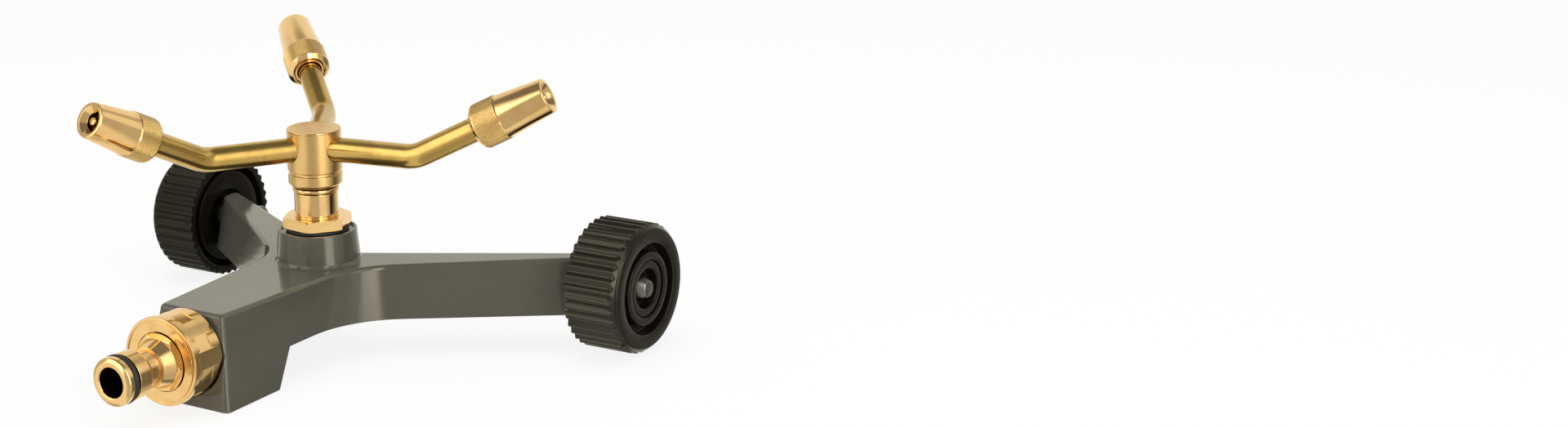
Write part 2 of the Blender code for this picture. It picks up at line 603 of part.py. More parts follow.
def make_spindle(root, brass, rubber, steel):
    """Fixed hollow spindle that the rotor turns on, with its washers and retaining ring."""
    clip_radius = JOURNAL_RADIUS - CLIP_GROOVE_DEPTH
    spindle = turned("spindle", [
        (0, HEX_Z - STEM_LENGTH), (STEM_RADIUS, HEX_Z - STEM_LENGTH), (STEM_RADIUS, HEX_Z),
        (COLUMN_RADIUS, COLUMN_Z - HEX_CHAMFER), (COLUMN_RADIUS, JOURNAL_Z),
        (JOURNAL_RADIUS, JOURNAL_Z), (JOURNAL_RADIUS, CLIP_Z - GAP), (clip_radius, CLIP_Z - GAP),
        (clip_radius, CLIP_Z + CLIP_THICKNESS + GAP),
        (JOURNAL_RADIUS, CLIP_Z + CLIP_THICKNESS + GAP), (JOURNAL_RADIUS, JOURNAL_TOP_Z),
        (0, JOURNAL_TOP_Z),
    ], STEPS)
    spindle_object = make_object("spindle", spindle, root, brass)
    hexagon = turned("hexagon", [
        (0, HEX_Z), (HEX_RADIUS, HEX_Z), (HEX_RADIUS, COLUMN_Z - HEX_CHAMFER),
        (HEX_RADIUS - 2 * HEX_CHAMFER, COLUMN_Z), (0, COLUMN_Z),
    ], 6)
    cutter = make_cutter("hexagon", hexagon, root, rotation=(0, 0, HEX_ANGLE))
    combine(spindle_object, cutter, "UNION")
    bore = cylinder("spindle_bore", SPINDLE_BORE_RADIUS, HEX_Z - 2 * STEM_LENGTH,
                    JOURNAL_TOP_Z + STEM_LENGTH, COARSE_STEPS)
    combine(spindle_object, make_cutter("spindle_bore", bore, root), "DIFFERENCE")

    gasket = ring("spindle_gasket", STEM_RADIUS + GAP, GASKET_RADIUS, GASKET_Z,
                  GASKET_THICKNESS, STEPS)
    make_object("spindle_gasket", gasket, root, rubber)
    washer = ring("lower_thrust_washer", BUSH_BORE_RADIUS, LOWER_WASHER_RADIUS, LOWER_WASHER_Z,
                  LOWER_WASHER_THICKNESS, STEPS)
    make_object("lower_thrust_washer", washer, root, brass)
    clip = ring("retaining_ring", clip_radius + GAP, CLIP_RADIUS, CLIP_Z, CLIP_THICKNESS,
                COARSE_STEPS)
    make_object("retaining_ring", clip, root, steel)


def make_rotor(rotor, brass, plastic):
    collar_radius = ROTOR_RADIUS - COLLAR_STEP
    groove_z = ROTOR_Z + COLLAR_HEIGHT
    groove_radius = collar_radius - COLLAR_GROOVE_DEPTH
    head = turned("rotor_head", [
        (BUSH_RADIUS + GAP, ROTOR_Z), (collar_radius - COLLAR_CHAMFER, ROTOR_Z),
        (collar_radius, ROTOR_Z + COLLAR_CHAMFER), (collar_radius, groove_z),
        (groove_radius, groove_z), (groove_radius, groove_z + COLLAR_GROOVE_HEIGHT),
        (ROTOR_RADIUS, groove_z + COLLAR_GROOVE_HEIGHT + COLLAR_STEP), (ROTOR_RADIUS, ROTOR_TOP_Z),
        (CHAMBER_RADIUS, ROTOR_TOP_Z), (CHAMBER_RADIUS, CHAMBER_Z),
        (BUSH_RADIUS + GAP, CHAMBER_Z),
    ], FINE_STEPS)
    head_object = make_object("rotor_head", head, rotor, brass)
    for number in range(1, ARM_COUNT + 1):
        socket = cylinder("arm_socket", ARM_SOCKET_RADIUS, CHAMBER_RADIUS - 2 * GAP,
                          2 * ROTOR_RADIUS, STEPS)
        angle = arm_angle(number)
        cutter = make_cutter(f"arm_socket_{number}", socket, rotor, (0, 0, ARM_ROOT_Z),
                             (0, pi / 2, angle))
        combine(head_object, cutter, "DIFFERENCE")

    spigot_radius = CHAMBER_RADIUS - GAP
    cap = turned("rotor_cap", [
        (0, CAP_Z - CAP_SPIGOT_DEPTH), (spigot_radius, CAP_Z - CAP_SPIGOT_DEPTH),
        (spigot_radius, CAP_Z), (ROTOR_RADIUS, CAP_Z),
        (ROTOR_RADIUS, CAP_Z + CAP_THICKNESS - CAP_CHAMFER),
        (ROTOR_RADIUS - CAP_CHAMFER, CAP_Z + CAP_THICKNESS), (0, CAP_Z + CAP_THICKNESS),
    ], FINE_STEPS)
    make_object("rotor_cap", cap, rotor, brass)
    bush = ring("bearing_bush", BUSH_BORE_RADIUS, BUSH_RADIUS, BUSH_Z, BUSH_LENGTH, STEPS)
    make_object("bearing_bush", bush, rotor, plastic)
    washer = ring("upper_thrust_washer", BUSH_BORE_RADIUS, BUSH_RADIUS, UPPER_WASHER_Z,
                  UPPER_WASHER_THICKNESS, STEPS)
    make_object("upper_thrust_washer", washer, rotor, plastic)


def arm_angle(number):
    return FIRST_ARM_ANGLE + 2 * pi * (number - 1) / ARM_COUNT


def arm_bend():
    return Vector((ARM_BEND_REACH, 0, ARM_ROOT_Z + ARM_BEND_RISE))


def nozzle_direction():
    """Direction of the outer length of an arm, in the frame of the arm."""
    level = cos(ARM_RISE_ANGLE)
    return Vector((level * cos(ARM_SWEEP_ANGLE), level * sin(ARM_SWEEP_ANGLE),
                   sin(ARM_RISE_ANGLE)))


def arm_path():
    """Centre line of an arm: straight, an arc at the bend, straight."""
    root = Vector((ARM_ROOT_REACH, 0, ARM_ROOT_Z))
    bend = arm_bend()
    inward = (root - bend).normalized()
    outward = nozzle_direction()
    half_angle = inward.angle(outward) / 2
    center = bend + (inward + outward).normalized() * ARM_BEND_RADIUS / sin(half_angle)
    start = bend + inward * ARM_BEND_RADIUS / tan(half_angle) - center
    axis = inward.cross(outward).normalized()
    sweep = 2 * half_angle - pi
    arc = [center + Matrix.Rotation(sweep * step / ARM_BEND_STEPS, 3, axis) @ start
           for step in range(ARM_BEND_STEPS + 1)]
    return [root] + arc + [bend + outward * ARM_TUBE_REACH], axis


def arm_mesh():
    """Bent tube with its bore, swept along the centre line."""
    path, side = arm_path()
    turns = [2 * pi * step / ARM_STEPS for step in range(ARM_STEPS)]
    bm = bmesh.new()
    rings = []
    for radius in (ARM_RADIUS, ARM_RADIUS - ARM_WALL):
        for index, point in enumerate(path):
            before = path[max(index - 1, 0)]
            after = path[min(index + 1, len(path) - 1)]
            across = side.cross((after - before).normalized())
            rings.append([bm.verts.new(point + (side * cos(turn) + across * sin(turn)) * radius)
                          for turn in turns])
    outer = rings[:len(path)]
    inner = rings[len(path):]
    loops = outer + inner[::-1]
    for near, far in zip(loops, loops[1:] + loops[:1]):
        for step in range(ARM_STEPS):
            after = (step + 1) % ARM_STEPS
            bm.faces.new((near[step], near[after], far[after], far[step]))
    return finish_mesh("arm_tube", bm)


def nozzle_stem_mesh():
    """Socket over the end of the arm, seal groove, cross-drilled neck and centre pin."""
    bore = ARM_RADIUS + GAP
    body = bore + NOZZLE_STEM_WALL
    rear = ARM_TUBE_REACH - NOZZLE_STEM_GRIP
    floor = ARM_TUBE_REACH + GAP
    groove = floor + NOZZLE_STEM_LAND
    groove_end = groove + NOZZLE_RING_GROOVE_WIDTH
    taper = groove_end + NOZZLE_STEM_FRONT_LAND
    neck = taper + NOZZLE_STEM_TAPER
    neck_end = neck + NOZZLE_STEM_NECK_LENGTH
    drill_end = neck_end - CROSS_HOLE_RADIUS
    pin_end = NOZZLE_TIP - PIN_SETBACK
    return turned("nozzle_stem", [
        (0, drill_end), (NOZZLE_STEM_BORE_RADIUS, drill_end), (NOZZLE_STEM_BORE_RADIUS, floor),
        (bore, floor), (bore, rear), (body, rear), (body, groove),
        (body - NOZZLE_RING_GROOVE_DEPTH, groove), (body - NOZZLE_RING_GROOVE_DEPTH, groove_end),
        (body, groove_end), (body, taper), (NOZZLE_STEM_NECK_RADIUS, neck),
        (NOZZLE_STEM_NECK_RADIUS, neck_end), (PIN_RADIUS, neck_end + GAP),
        (PIN_RADIUS, pin_end - PIN_RADIUS / 2), (PIN_RADIUS / 2, pin_end), (0, pin_end),
    ], COARSE_STEPS), neck + NOZZLE_STEM_NECK_LENGTH / 2 - CROSS_HOLE_RADIUS / 2


def nozzle_mesh():
    """Knurled ring and cone in one sleeve, countersunk at the tip and open at the rear."""
    bore = ARM_RADIUS + GAP + NOZZLE_STEM_WALL + GAP
    knurl_end = NOZZLE_REAR + KNURL_LENGTH
    mouth = NOZZLE_TIP - MOUTH_DEPTH
    hole_rear = mouth - MOUTH_HOLE_LENGTH
    bore_end = hole_rear - NOZZLE_CONE_LENGTH
    recess = NOZZLE_REAR + NOZZLE_RECESS_DEPTH
    return turned("nozzle", [
        (NOZZLE_RECESS_RADIUS, NOZZLE_REAR), (KNURL_RADIUS - KNURL_REAR_BEVEL, NOZZLE_REAR),
        (KNURL_RADIUS, NOZZLE_REAR + KNURL_REAR_BEVEL), (KNURL_RADIUS, knurl_end - KNURL_FRONT_BEVEL),
        (CONE_BASE_RADIUS, knurl_end), (CONE_TIP_RADIUS, NOZZLE_TIP - TIP_EDGE),
        (CONE_TIP_RADIUS - TIP_EDGE, NOZZLE_TIP), (MOUTH_RADIUS, NOZZLE_TIP),
        (MOUTH_HOLE_RADIUS, mouth), (MOUTH_HOLE_RADIUS, hole_rear), (bore, bore_end),
        (bore, recess), (NOZZLE_RECESS_RADIUS, recess),
    ], STEPS)


def make_arms(rotor, tube_brass, brass, rubber):
    arm = arm_mesh()
    stem, cross_z = nozzle_stem_mesh()
    nozzle = nozzle_mesh()
    body = ARM_RADIUS + GAP + NOZZLE_STEM_WALL
    ring_tube = NOZZLE_RING_THICKNESS / 2
    ring_z = ARM_TUBE_REACH + GAP + NOZZLE_STEM_LAND + NOZZLE_RING_GROOVE_WIDTH / 2
    ring_radius = body + GAP / 2 - NOZZLE_RING_GROOVE_DEPTH / 2
    seal = torus("nozzle_oring", ring_radius, ring_tube, ring_z, COARSE_STEPS, SEAL_STEPS)
    cross_hole = cylinder("cross_hole", CROSS_HOLE_RADIUS, -body, body, SEAL_STEPS)
    turn = nozzle_direction().to_track_quat("Z", "Y").to_euler()
    for number in range(1, ARM_COUNT + 1):
        frame = make_empty(f"arm_{number}", rotor, rotation=(0, 0, arm_angle(number)))
        make_object(f"arm_tube_{number}", arm, frame, tube_brass)
        axis = make_empty(f"nozzle_axis_{number}", frame, arm_bend(), turn)
        stem_object = make_object(f"nozzle_stem_{number}", stem, axis, brass)
        cutter = make_cutter(f"cross_hole_{number}", cross_hole, axis, (0, 0, cross_z),
                             (pi / 2, 0, 0))
        combine(stem_object, cutter, "DIFFERENCE")
        make_object(f"nozzle_oring_{number}", seal, axis, rubber)
        make_object(f"nozzle_{number}", nozzle, axis, brass)


def wheel_mesh():
    """Turned wheel with ribs along its tread. Z runs from the leg outwards."""
    core = WHEEL_RADIUS - RIB_HEIGHT
    rim = core - RIM_THICKNESS + RIB_HEIGHT
    disc = rim - INNER_GROOVE_WIDTH
    hub_well_z = WHEEL_WIDTH - HEAD_WELL_DEPTH
    hub_front = WHEEL_WIDTH - 2 * HUB_STEP
    groove_floor = WHEEL_WIDTH - OUTER_GROOVE_DEPTH
    groove_inner = OUTER_GROOVE_RADIUS - OUTER_GROOVE_WIDTH
    shoulder_z = WHEEL_WIDTH - SHOULDER_LENGTH
    profile = [
        (core, 0), (rim, 0), (rim, INNER_GROOVE_DEPTH), (disc, INNER_GROOVE_DEPTH),
        (disc, HUB_STEP), (HUB_RECESS_RADIUS, HUB_STEP), (HUB_RECESS_RADIUS, HUB_RECESS_DEPTH),
        (HUB_RADIUS, HUB_RECESS_DEPTH), (HUB_RADIUS, HUB_SETBACK), (AXLE_BORE_RADIUS, HUB_SETBACK),
        (AXLE_BORE_RADIUS, hub_well_z), (HEAD_WELL_RADIUS, hub_well_z),
        (HEAD_WELL_RADIUS, hub_front), (HUB_STEP_RADIUS, hub_front),
        (HUB_STEP_RADIUS, hub_front + HUB_STEP), (groove_inner, hub_front + HUB_STEP),
        (groove_inner, groove_floor), (OUTER_GROOVE_RADIUS, groove_floor),
        (OUTER_GROOVE_RADIUS, WHEEL_WIDTH), (core - SHOULDER_DROP, WHEEL_WIDTH),
        (core - SHOULDER_DROP * SHOULDER_ROUND_SHARE,
         WHEEL_WIDTH - SHOULDER_LENGTH * SHOULDER_ROUND_SHARE), (core, shoulder_z),
    ]
    bm = bmesh.new()
    rings = []
    for radius, z in profile:
        turns = [2 * pi * step / RIB_COUNT for step in range(RIB_COUNT)]
        rings.append([bm.verts.new((radius * cos(turn), radius * sin(turn), z))
                      for turn in turns])
    for near, far in zip(rings, rings[1:]):
        for step in range(RIB_COUNT):
            after = (step + 1) % RIB_COUNT
            bm.faces.new((near[step], near[after], far[after], far[step]))
    tread_start, tread_end = [rib_outline(bm, z) for z in (SHOULDER_DROP / 2, shoulder_z)]
    points = len(tread_start)
    for step in range(points):
        after = (step + 1) % points
        bm.faces.new((tread_start[step], tread_start[after], tread_end[after], tread_end[step]))
    per_rib = points // RIB_COUNT
    outer_ring = shoulder_ring(bm, rings[-1])
    for small, large in ((rings[0], tread_start), (outer_ring, tread_end)):
        for rib in range(RIB_COUNT):
            after = (rib + 1) % RIB_COUNT
            first = rib * per_rib
            crest = [large[(first + step) % points] for step in range(per_rib + 1)]
            bm.faces.new([small[rib], small[after]] + crest[::-1])
    return finish_mesh("wheel", bm)


def shoulder_ring(bm, ring_verts):
    """The outermost plain ring, drawn in a little so that each rib ends in its own small slope."""
    for vert in ring_verts:
        vert.co.z += RIB_HEIGHT
        scale = 1 - RIB_HEIGHT / 3 / vert.co.xy.length
        vert.co.x *= scale
        vert.co.y *= scale
    return ring_verts


def rib_outline(bm, z):
    """Tread outline at one height: each rib has a foot and a crest on both sides of its middle."""
    pitch = 2 * pi / RIB_COUNT
    core = WHEEL_RADIUS - RIB_HEIGHT
    outline = []
    for rib in range(RIB_COUNT):
        middle = (rib + 0.5) * pitch
        for share, radius in ((-RIB_FOOT_SHARE, core), (-RIB_CREST_SHARE, WHEEL_RADIUS),
                              (RIB_CREST_SHARE, WHEEL_RADIUS), (RIB_FOOT_SHARE, core)):
            turn = middle + share * pitch / 2
            outline.append(bm.verts.new((radius * cos(turn), radius * sin(turn), z)))
    return outline


def make_wheels(root, black, steel, pale_plastic):
    wheel = wheel_mesh()
    pin_start = LEG_END_X - AXLE_DEPTH
    head_start = HEAD_WELL_X + GAP
    dome_start = head_start + AXLE_HEAD_RIM
    dome_angles = [step * pi / 2 / DOME_STEPS for step in range(DOME_STEPS)]
    dome = [(AXLE_HEAD_RADIUS * cos(angle), dome_start + AXLE_HEAD_DOME * sin(angle))
            for angle in dome_angles]
    pin = turned("axle", [
        (0, pin_start), (AXLE_RADIUS, pin_start), (AXLE_RADIUS, head_start),
        (AXLE_HEAD_RADIUS, head_start), *dome, (0, dome_start + AXLE_HEAD_DOME),
    ], COARSE_STEPS)
    washer = ring("axle_washer", AXLE_BORE_RADIUS, AXLE_WASHER_RADIUS, LEG_END_X + GAP,
                  AXLE_WASHER_THICKNESS, COARSE_STEPS)
    for side, name in ((1, "right"), (-1, "left")):
        axis = make_empty("axle_axis_" + name, root, (0, AXLE_Y, WHEEL_RADIUS),
                          (0, side * pi / 2, 0))
        make_object("axle_" + name, pin, axis, steel)
        make_object("axle_washer_" + name, washer, axis, pale_plastic)
        make_object("wheel_" + name, wheel, axis, black, (0, 0, WHEEL_INNER_X))


def main():
    clear_scene()
    paint = make_material("grey_paint", (0.105, 0.102, 0.086), 0.22, 0.0)
    brass = make_material("brass", (0.82, 0.60, 0.30), 0.22, 1.0)
    tube_brass = make_material("tube_brass", (0.60, 0.45, 0.15), 0.30, 1.0)
    black = make_material("wheel_plastic", (0.022, 0.020, 0.018), 0.42, 0.0)
    rubber = make_material("seal_rubber", (0.010, 0.010, 0.010), 0.60, 0.0)
    steel = make_material("steel", (0.34, 0.34, 0.33), 0.35, 1.0)
    bearing_plastic = make_material("bearing_plastic", (0.75, 0.74, 0.70), 0.45, 0.0)

    root = make_empty("sprinkler", location=(0, ROTOR_Y, 0))
    rotor = make_empty("rotor_axis", root)
    make_base(root, paint)
    make_inlet(root, brass, rubber)
    make_spindle(root, brass, rubber, steel)
    make_rotor(rotor, brass, bearing_plastic)
    make_arms(rotor, tube_brass, brass, rubber)
    make_wheels(root, black, steel, bearing_plastic)


main()
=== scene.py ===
# Looks of the wheeled rotary sprinkler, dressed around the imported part. Metres, +Z up, inlet along -Y.
import json
from functools import partial
from math import atan2, cos, hypot, pi, radians, sin, tan

import bmesh
import bpy
from mathutils import Matrix, Vector


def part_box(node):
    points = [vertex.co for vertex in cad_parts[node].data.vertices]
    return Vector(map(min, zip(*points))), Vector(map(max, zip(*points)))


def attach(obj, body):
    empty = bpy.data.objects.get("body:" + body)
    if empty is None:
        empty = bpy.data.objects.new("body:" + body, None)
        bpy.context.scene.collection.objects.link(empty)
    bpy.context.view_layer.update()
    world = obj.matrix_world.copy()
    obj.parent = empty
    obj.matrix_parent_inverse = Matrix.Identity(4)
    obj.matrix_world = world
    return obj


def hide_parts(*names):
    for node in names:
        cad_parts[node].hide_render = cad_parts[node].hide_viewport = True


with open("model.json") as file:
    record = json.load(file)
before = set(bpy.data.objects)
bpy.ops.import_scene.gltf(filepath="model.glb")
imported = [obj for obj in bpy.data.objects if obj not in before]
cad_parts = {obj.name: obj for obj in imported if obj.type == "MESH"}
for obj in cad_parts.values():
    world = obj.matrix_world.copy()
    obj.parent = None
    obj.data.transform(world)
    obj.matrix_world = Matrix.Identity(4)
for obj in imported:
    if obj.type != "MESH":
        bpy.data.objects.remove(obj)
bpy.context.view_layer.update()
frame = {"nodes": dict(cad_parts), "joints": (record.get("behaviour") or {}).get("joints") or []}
joints = {joint["name"]: joint for joint in frame["joints"]}
rotorAxis = Vector(joints["rotor_spin"]["pos_m"])
wheelAxis = Vector(joints["wheel_right_spin"]["pos_m"])
gap = 0.0003  # between neighbouring pieces, as in the part
crisp, fine, slight, soft = 0.0001, 0.0002, 0.0003, 0.0004  # roundings of small edges
overlap = 0.001  # how deep a joined shape reaches into its neighbour
beyond = 0.01  # how far a cutting shape runs out of the piece
axisHole = 0.0001  # left open along the axis of a trimming shape
tiny = 1e-6  # places that differ by less are the same
weld = 1e-7  # points closer than this are one


# Shared tools

def addNode(tree, kind, inputs=None, **settings):  # a node with its settings, values and links
    node = tree.nodes.new(kind)
    for name, value in settings.items():
        setattr(node, name, value)
    for name, value in (inputs or {}).items():
        if isinstance(value, bpy.types.NodeSocket):
            tree.links.new(value, node.inputs[name])
        else:
            node.inputs[name].default_value = value
    return node


def nodeOut(tree, kind, inputs=None, **settings):  # the first output of such a node
    return addNode(tree, kind, inputs, **settings).outputs[0]


def maths(tree, operation, first, second=0.0):
    return nodeOut(tree, "ShaderNodeMath", {0: first, 1: second}, operation=operation)


def arithmetic(tree):  # adding, multiplying and dividing in a tree
    return [partial(maths, tree, operation) for operation in ("ADD", "MULTIPLY", "DIVIDE")]


def mixed(tree, share, first, second):
    return nodeOut(tree, "ShaderNodeMix", {"Factor": share, "A": first, "B": second})


def rounded(corners, steps=6):  # outline through corners; a third value rounds one, a fourth sets its chords
    outline = []
    for index, corner in enumerate(corners):
        here = Vector(corner[:2])
        if len(corner) == 2:
            outline.append(here)
            continue
        radius = corner[2]
        chords = corner[3] if len(corner) > 3 else steps
        toLast = (Vector(corners[index - 1][:2]) - here).normalized()
        toNext = (Vector(corners[(index + 1) % len(corners)][:2]) - here).normalized()
        half = toLast.angle(toNext) / 2
        centre = here + (toLast + toNext).normalized() * radius / sin(half)
        start = here + toLast * radius / tan(half) - centre
        end = here + toNext * radius / tan(half) - centre
        first = atan2(start.y, start.x)
        sweep = (atan2(end.y, end.x) - first + pi) % (2 * pi) - pi
        for step in range(chords + 1):
            angle = first + sweep * step / chords
            outline.append(centre + Vector((cos(angle), sin(angle))) * radius)
    return outline


def meshFrom(bm, name, sharpAngle=35):  # outward faces, smooth between the hard edges
    bmesh.ops.remove_doubles(bm, verts=bm.verts[:], dist=weld)
    bmesh.ops.recalc_face_normals(bm, faces=bm.faces[:])
    if bm.calc_volume(signed=True) < 0:
        bmesh.ops.reverse_faces(bm, faces=bm.faces[:])
    mesh = bpy.data.meshes.new(name)
    bm.to_mesh(mesh)
    bm.free()
    mesh.shade_smooth()
    mesh.set_sharp_from_angle(angle=radians(sharpAngle))
    return mesh


# Turned about Z from corners, each (radius, height) or (radius, height, rounding)
def turned(name, profile, steps=96, soften=3):
    points = rounded(profile, soften)
    bm = bmesh.new()
    wrap = bm.verts.layers.float_vector.new("wrap")  # round the piece and along its profile, for the finishes
    along = 0.0
    rings = []
    for index, (radius, height) in enumerate(points):
        along += hypot(radius - points[index - 1].x, height - points[index - 1].y) if index else 0.0
        ring = []
        for step in range(steps if radius > weld else 1):
            angle = 2 * pi * step / steps
            vert = bm.verts.new((radius * cos(angle), radius * sin(angle), height))
            vert[wrap] = (cos(angle), sin(angle), along)
            ring.append(vert)
        rings.append(ring)
    pairs = list(zip(rings, rings[1:]))
    if len(rings[0]) > 1:  # a profile off the axis closes on itself
        pairs.append((rings[-1], rings[0]))
    for near, far in pairs:
        for step in range(steps):
            after = (step + 1) % steps
            corners = [near[step % len(near)], near[after % len(near)],
                       far[after % len(far)], far[step % len(far)]]
            bm.faces.new(list(dict.fromkeys(corners)))
    return meshFrom(bm, name)


def plainRing(name, inner, outer, low, high, steps=96):  # of square section; solid where inner is 0
    return turned(name, [(inner, low), (outer, low), (outer, high), (inner, high)], steps)


def tubeRing(name, middle, thickness, height, sides=20):  # seal ring of round section
    half = thickness / 2
    turns = [2 * pi * side / sides for side in range(sides)]
    return turned(name, [(middle + half * cos(turn), height + half * sin(turn)) for turn in turns])


def linked(name, mesh):
    thing = bpy.data.objects.new(name, mesh)
    bpy.context.scene.collection.objects.link(thing)
    return thing


def evaluatedMesh(thing):
    return bpy.data.meshes.new_from_object(thing.evaluated_get(bpy.context.evaluated_depsgraph_get()))


def carved(mesh, steps, name):  # mesh after Boolean steps, each (operation, other mesh)
    holder = linked(name, mesh)
    others = []
    for operation, other in steps:
        others.append(linked(other.name, other))
        modifier = holder.modifiers.new(other.name, "BOOLEAN")
        modifier.operation = operation
        modifier.object = others[-1]
        modifier.solver = "EXACT"
    result = evaluatedMesh(holder)
    for thing in [holder] + others:
        bpy.data.objects.remove(thing)
    result.name = name
    return result


# Smooth between the hard edges, normals weighted by area; a width also bevels those edges
def shaded(mesh, sharpAngle, width=0.0):
    mesh.shade_smooth()
    mesh.set_sharp_from_angle(angle=radians(sharpAngle))
    holder = linked(mesh.name, mesh)
    if width:
        bevel = holder.modifiers.new("edges", "BEVEL")
        bevel.width = width
        bevel.segments = 2
        bevel.limit_method = "ANGLE"
        bevel.angle_limit = radians(sharpAngle)
    evened = holder.modifiers.new("shading", "WEIGHTED_NORMAL")
    evened.keep_sharp = True
    result = evaluatedMesh(holder)
    bpy.data.objects.remove(holder)
    return result


def addPiece(name, mesh, material, body, replaced, place=None):
    if place is not None:
        mesh = mesh.copy()
        mesh.transform(place)
    mesh.materials.clear()
    mesh.materials.append(material)
    piece = linked(name, mesh)
    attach(piece, body)
    if replaced:
        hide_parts(*replaced)


def newTree(name, sizes):  # Geometry Nodes tree with a named input for each size
    tree = bpy.data.node_groups.new(name, "GeometryNodeTree")
    tree.interface.new_socket("Geometry", in_out="INPUT", socket_type="NodeSocketGeometry")
    for label, value in sizes.items():
        kind = "NodeSocketInt" if isinstance(value, int) else "NodeSocketFloat"
        tree.interface.new_socket(label, in_out="INPUT", socket_type=kind)
    tree.interface.new_socket("Material", in_out="INPUT", socket_type="NodeSocketMaterial")
    tree.interface.new_socket("Geometry", in_out="OUTPUT", socket_type="NodeSocketGeometry")
    return tree, tree.nodes.new("NodeGroupInput").outputs


def aroundAxis(tree, radius, angle, height):  # the point there, from its radius, angle and height
    return nodeOut(tree, "ShaderNodeCombineXYZ", {
        0: maths(tree, "MULTIPLY", radius, maths(tree, "COSINE", angle)),
        1: maths(tree, "MULTIPLY", radius, maths(tree, "SINE", angle)), 2: height})


def endTree(tree, geometry, given):  # every tree ends in plain geometry with its material
    plain = nodeOut(tree, "GeometryNodeRealizeInstances", {"Geometry": geometry})
    painted = nodeOut(tree, "GeometryNodeSetMaterial", {"Geometry": plain, "Material": given["Material"]})
    addNode(tree, "NodeGroupOutput", {"Geometry": painted})


def grown(tree, sizes, material, source=None):  # plain mesh that a tree makes with these sizes
    holder = linked(tree.name, source or bpy.data.meshes.new(tree.name))
    modifier = holder.modifiers.new(tree.name, "NODES")
    modifier.node_group = tree
    for item in tree.interface.items_tree:
        if item.in_out == "INPUT" and item.name in sizes:
            modifier[item.identifier] = sizes[item.name]
        elif item.in_out == "INPUT" and item.name == "Material":
            modifier[item.identifier] = material
    result = evaluatedMesh(holder)
    bpy.data.objects.remove(holder)
    return result


def aimed(point, direction):  # places a piece made along Z on an axis through point
    return Matrix.Translation(point) @ Vector(direction).to_track_quat("Z", "Y").to_matrix().to_4x4()


# Finishes

def newMaterial(name, colour, roughness, metallic=0.0):
    material = bpy.data.materials.new(name)
    material.use_nodes = True
    tree = material.node_tree
    shader = tree.nodes["Principled BSDF"]
    shader.inputs["Base Color"].default_value = (*colour, 1)
    shader.inputs["Roughness"].default_value = roughness
    shader.inputs["Metallic"].default_value = metallic
    return material, tree, shader


def objectNoise(tree, scale, detail=3.0, roughness=0.55):
    place = addNode(tree, "ShaderNodeTexCoord").outputs["Object"]
    return addNode(tree, "ShaderNodeTexNoise", {"Vector": place, "Scale": scale, "Detail": detail,
                                                "Roughness": roughness}).outputs["Fac"]


def spread(tree, value, low, high, fromLow=0.3, fromHigh=0.7):  # value stretched to a range
    return nodeOut(tree, "ShaderNodeMapRange", {"Value": value, "From Min": fromLow, "From Max": fromHigh,
                                                "To Min": low, "To Max": high})


def blended(tree, share, first, second):
    mixer = addNode(tree, "ShaderNodeMix", data_type="RGBA")
    tree.links.new(share, mixer.inputs["Factor"])
    for socket, value in (("A", first), ("B", second)):
        target = next(s for s in mixer.inputs if s.name == socket and s.type == "RGBA")
        if isinstance(value, bpy.types.NodeSocket):
            tree.links.new(value, target)
        else:
            target.default_value = (*value, 1)
    return next(s for s in mixer.outputs if s.type == "RGBA")


def bumped(tree, shader, height, depth):
    bump = addNode(tree, "ShaderNodeBump", {"Height": height, "Distance": depth, "Strength": 1.0})
    tree.links.new(bump.outputs["Normal"], shader.inputs["Normal"])


brassLook = {
    "colour": (0.80, 0.55, 0.26), "stain": (0.70, 0.44, 0.17), "roughness": (0.10, 0.17),
    "lineScale": 5200.0, "lineDepth": 0.000003, "stainScale": 120.0, "stainRange": (0.45, 0.75),
    "stainShare": 0.6,
}
polishedLook = dict(brassLook, roughness=(0.06, 0.10), lineDepth=0.000001)
satinLook = dict(brassLook, colour=(0.70, 0.48, 0.21), roughness=(0.24, 0.32))
knurlLook = dict(brassLook, colour=(0.65, 0.45, 0.18), stain=(0.52, 0.34, 0.11), roughness=(0.28, 0.38))
tubeLook = dict(brassLook, colour=(0.55, 0.365, 0.115), stain=(0.37, 0.25, 0.07), roughness=(0.15, 0.24),
                lineScale=40.0, aroundScale=30.0, lineDepth=0.000004, stainScale=90.0)


def makeBrass(name, look, lengthways=False):  # turned or drawn brass: fine tool lines and light staining
    material, tree, shader = newMaterial(name, look["colour"], look["roughness"][0], 1.0)
    stain = objectNoise(tree, look["stainScale"], detail=5.0, roughness=0.6)
    stained = spread(tree, stain, 0, 1, *look["stainRange"])
    tree.links.new(blended(tree, stained, look["colour"], look["stain"]), shader.inputs["Base Color"])
    wrap = addNode(tree, "ShaderNodeAttribute", attribute_name="wrap").outputs["Vector"]
    if lengthways:  # the draw lines run along the tube
        scale = (look["aroundScale"], look["aroundScale"], look["lineScale"])
        stretched = addNode(tree, "ShaderNodeMapping", {"Vector": wrap, "Scale": scale})
        lines = addNode(tree, "ShaderNodeTexNoise", {"Vector": stretched.outputs[0], "Scale": 1.0,
                                                     "Detail": 3.0}).outputs["Fac"]
    else:  # the tool lines run round the piece
        along = addNode(tree, "ShaderNodeSeparateXYZ", {0: wrap}).outputs["Z"]
        lines = addNode(tree, "ShaderNodeTexNoise", {"W": along, "Scale": look["lineScale"], "Detail": 2.0},
                        noise_dimensions="1D").outputs["Fac"]
    uneven = mixed(tree, look["stainShare"], lines, stain)
    tree.links.new(spread(tree, uneven, *look["roughness"]), shader.inputs["Roughness"])
    bumped(tree, shader, lines, look["lineDepth"])
    return material


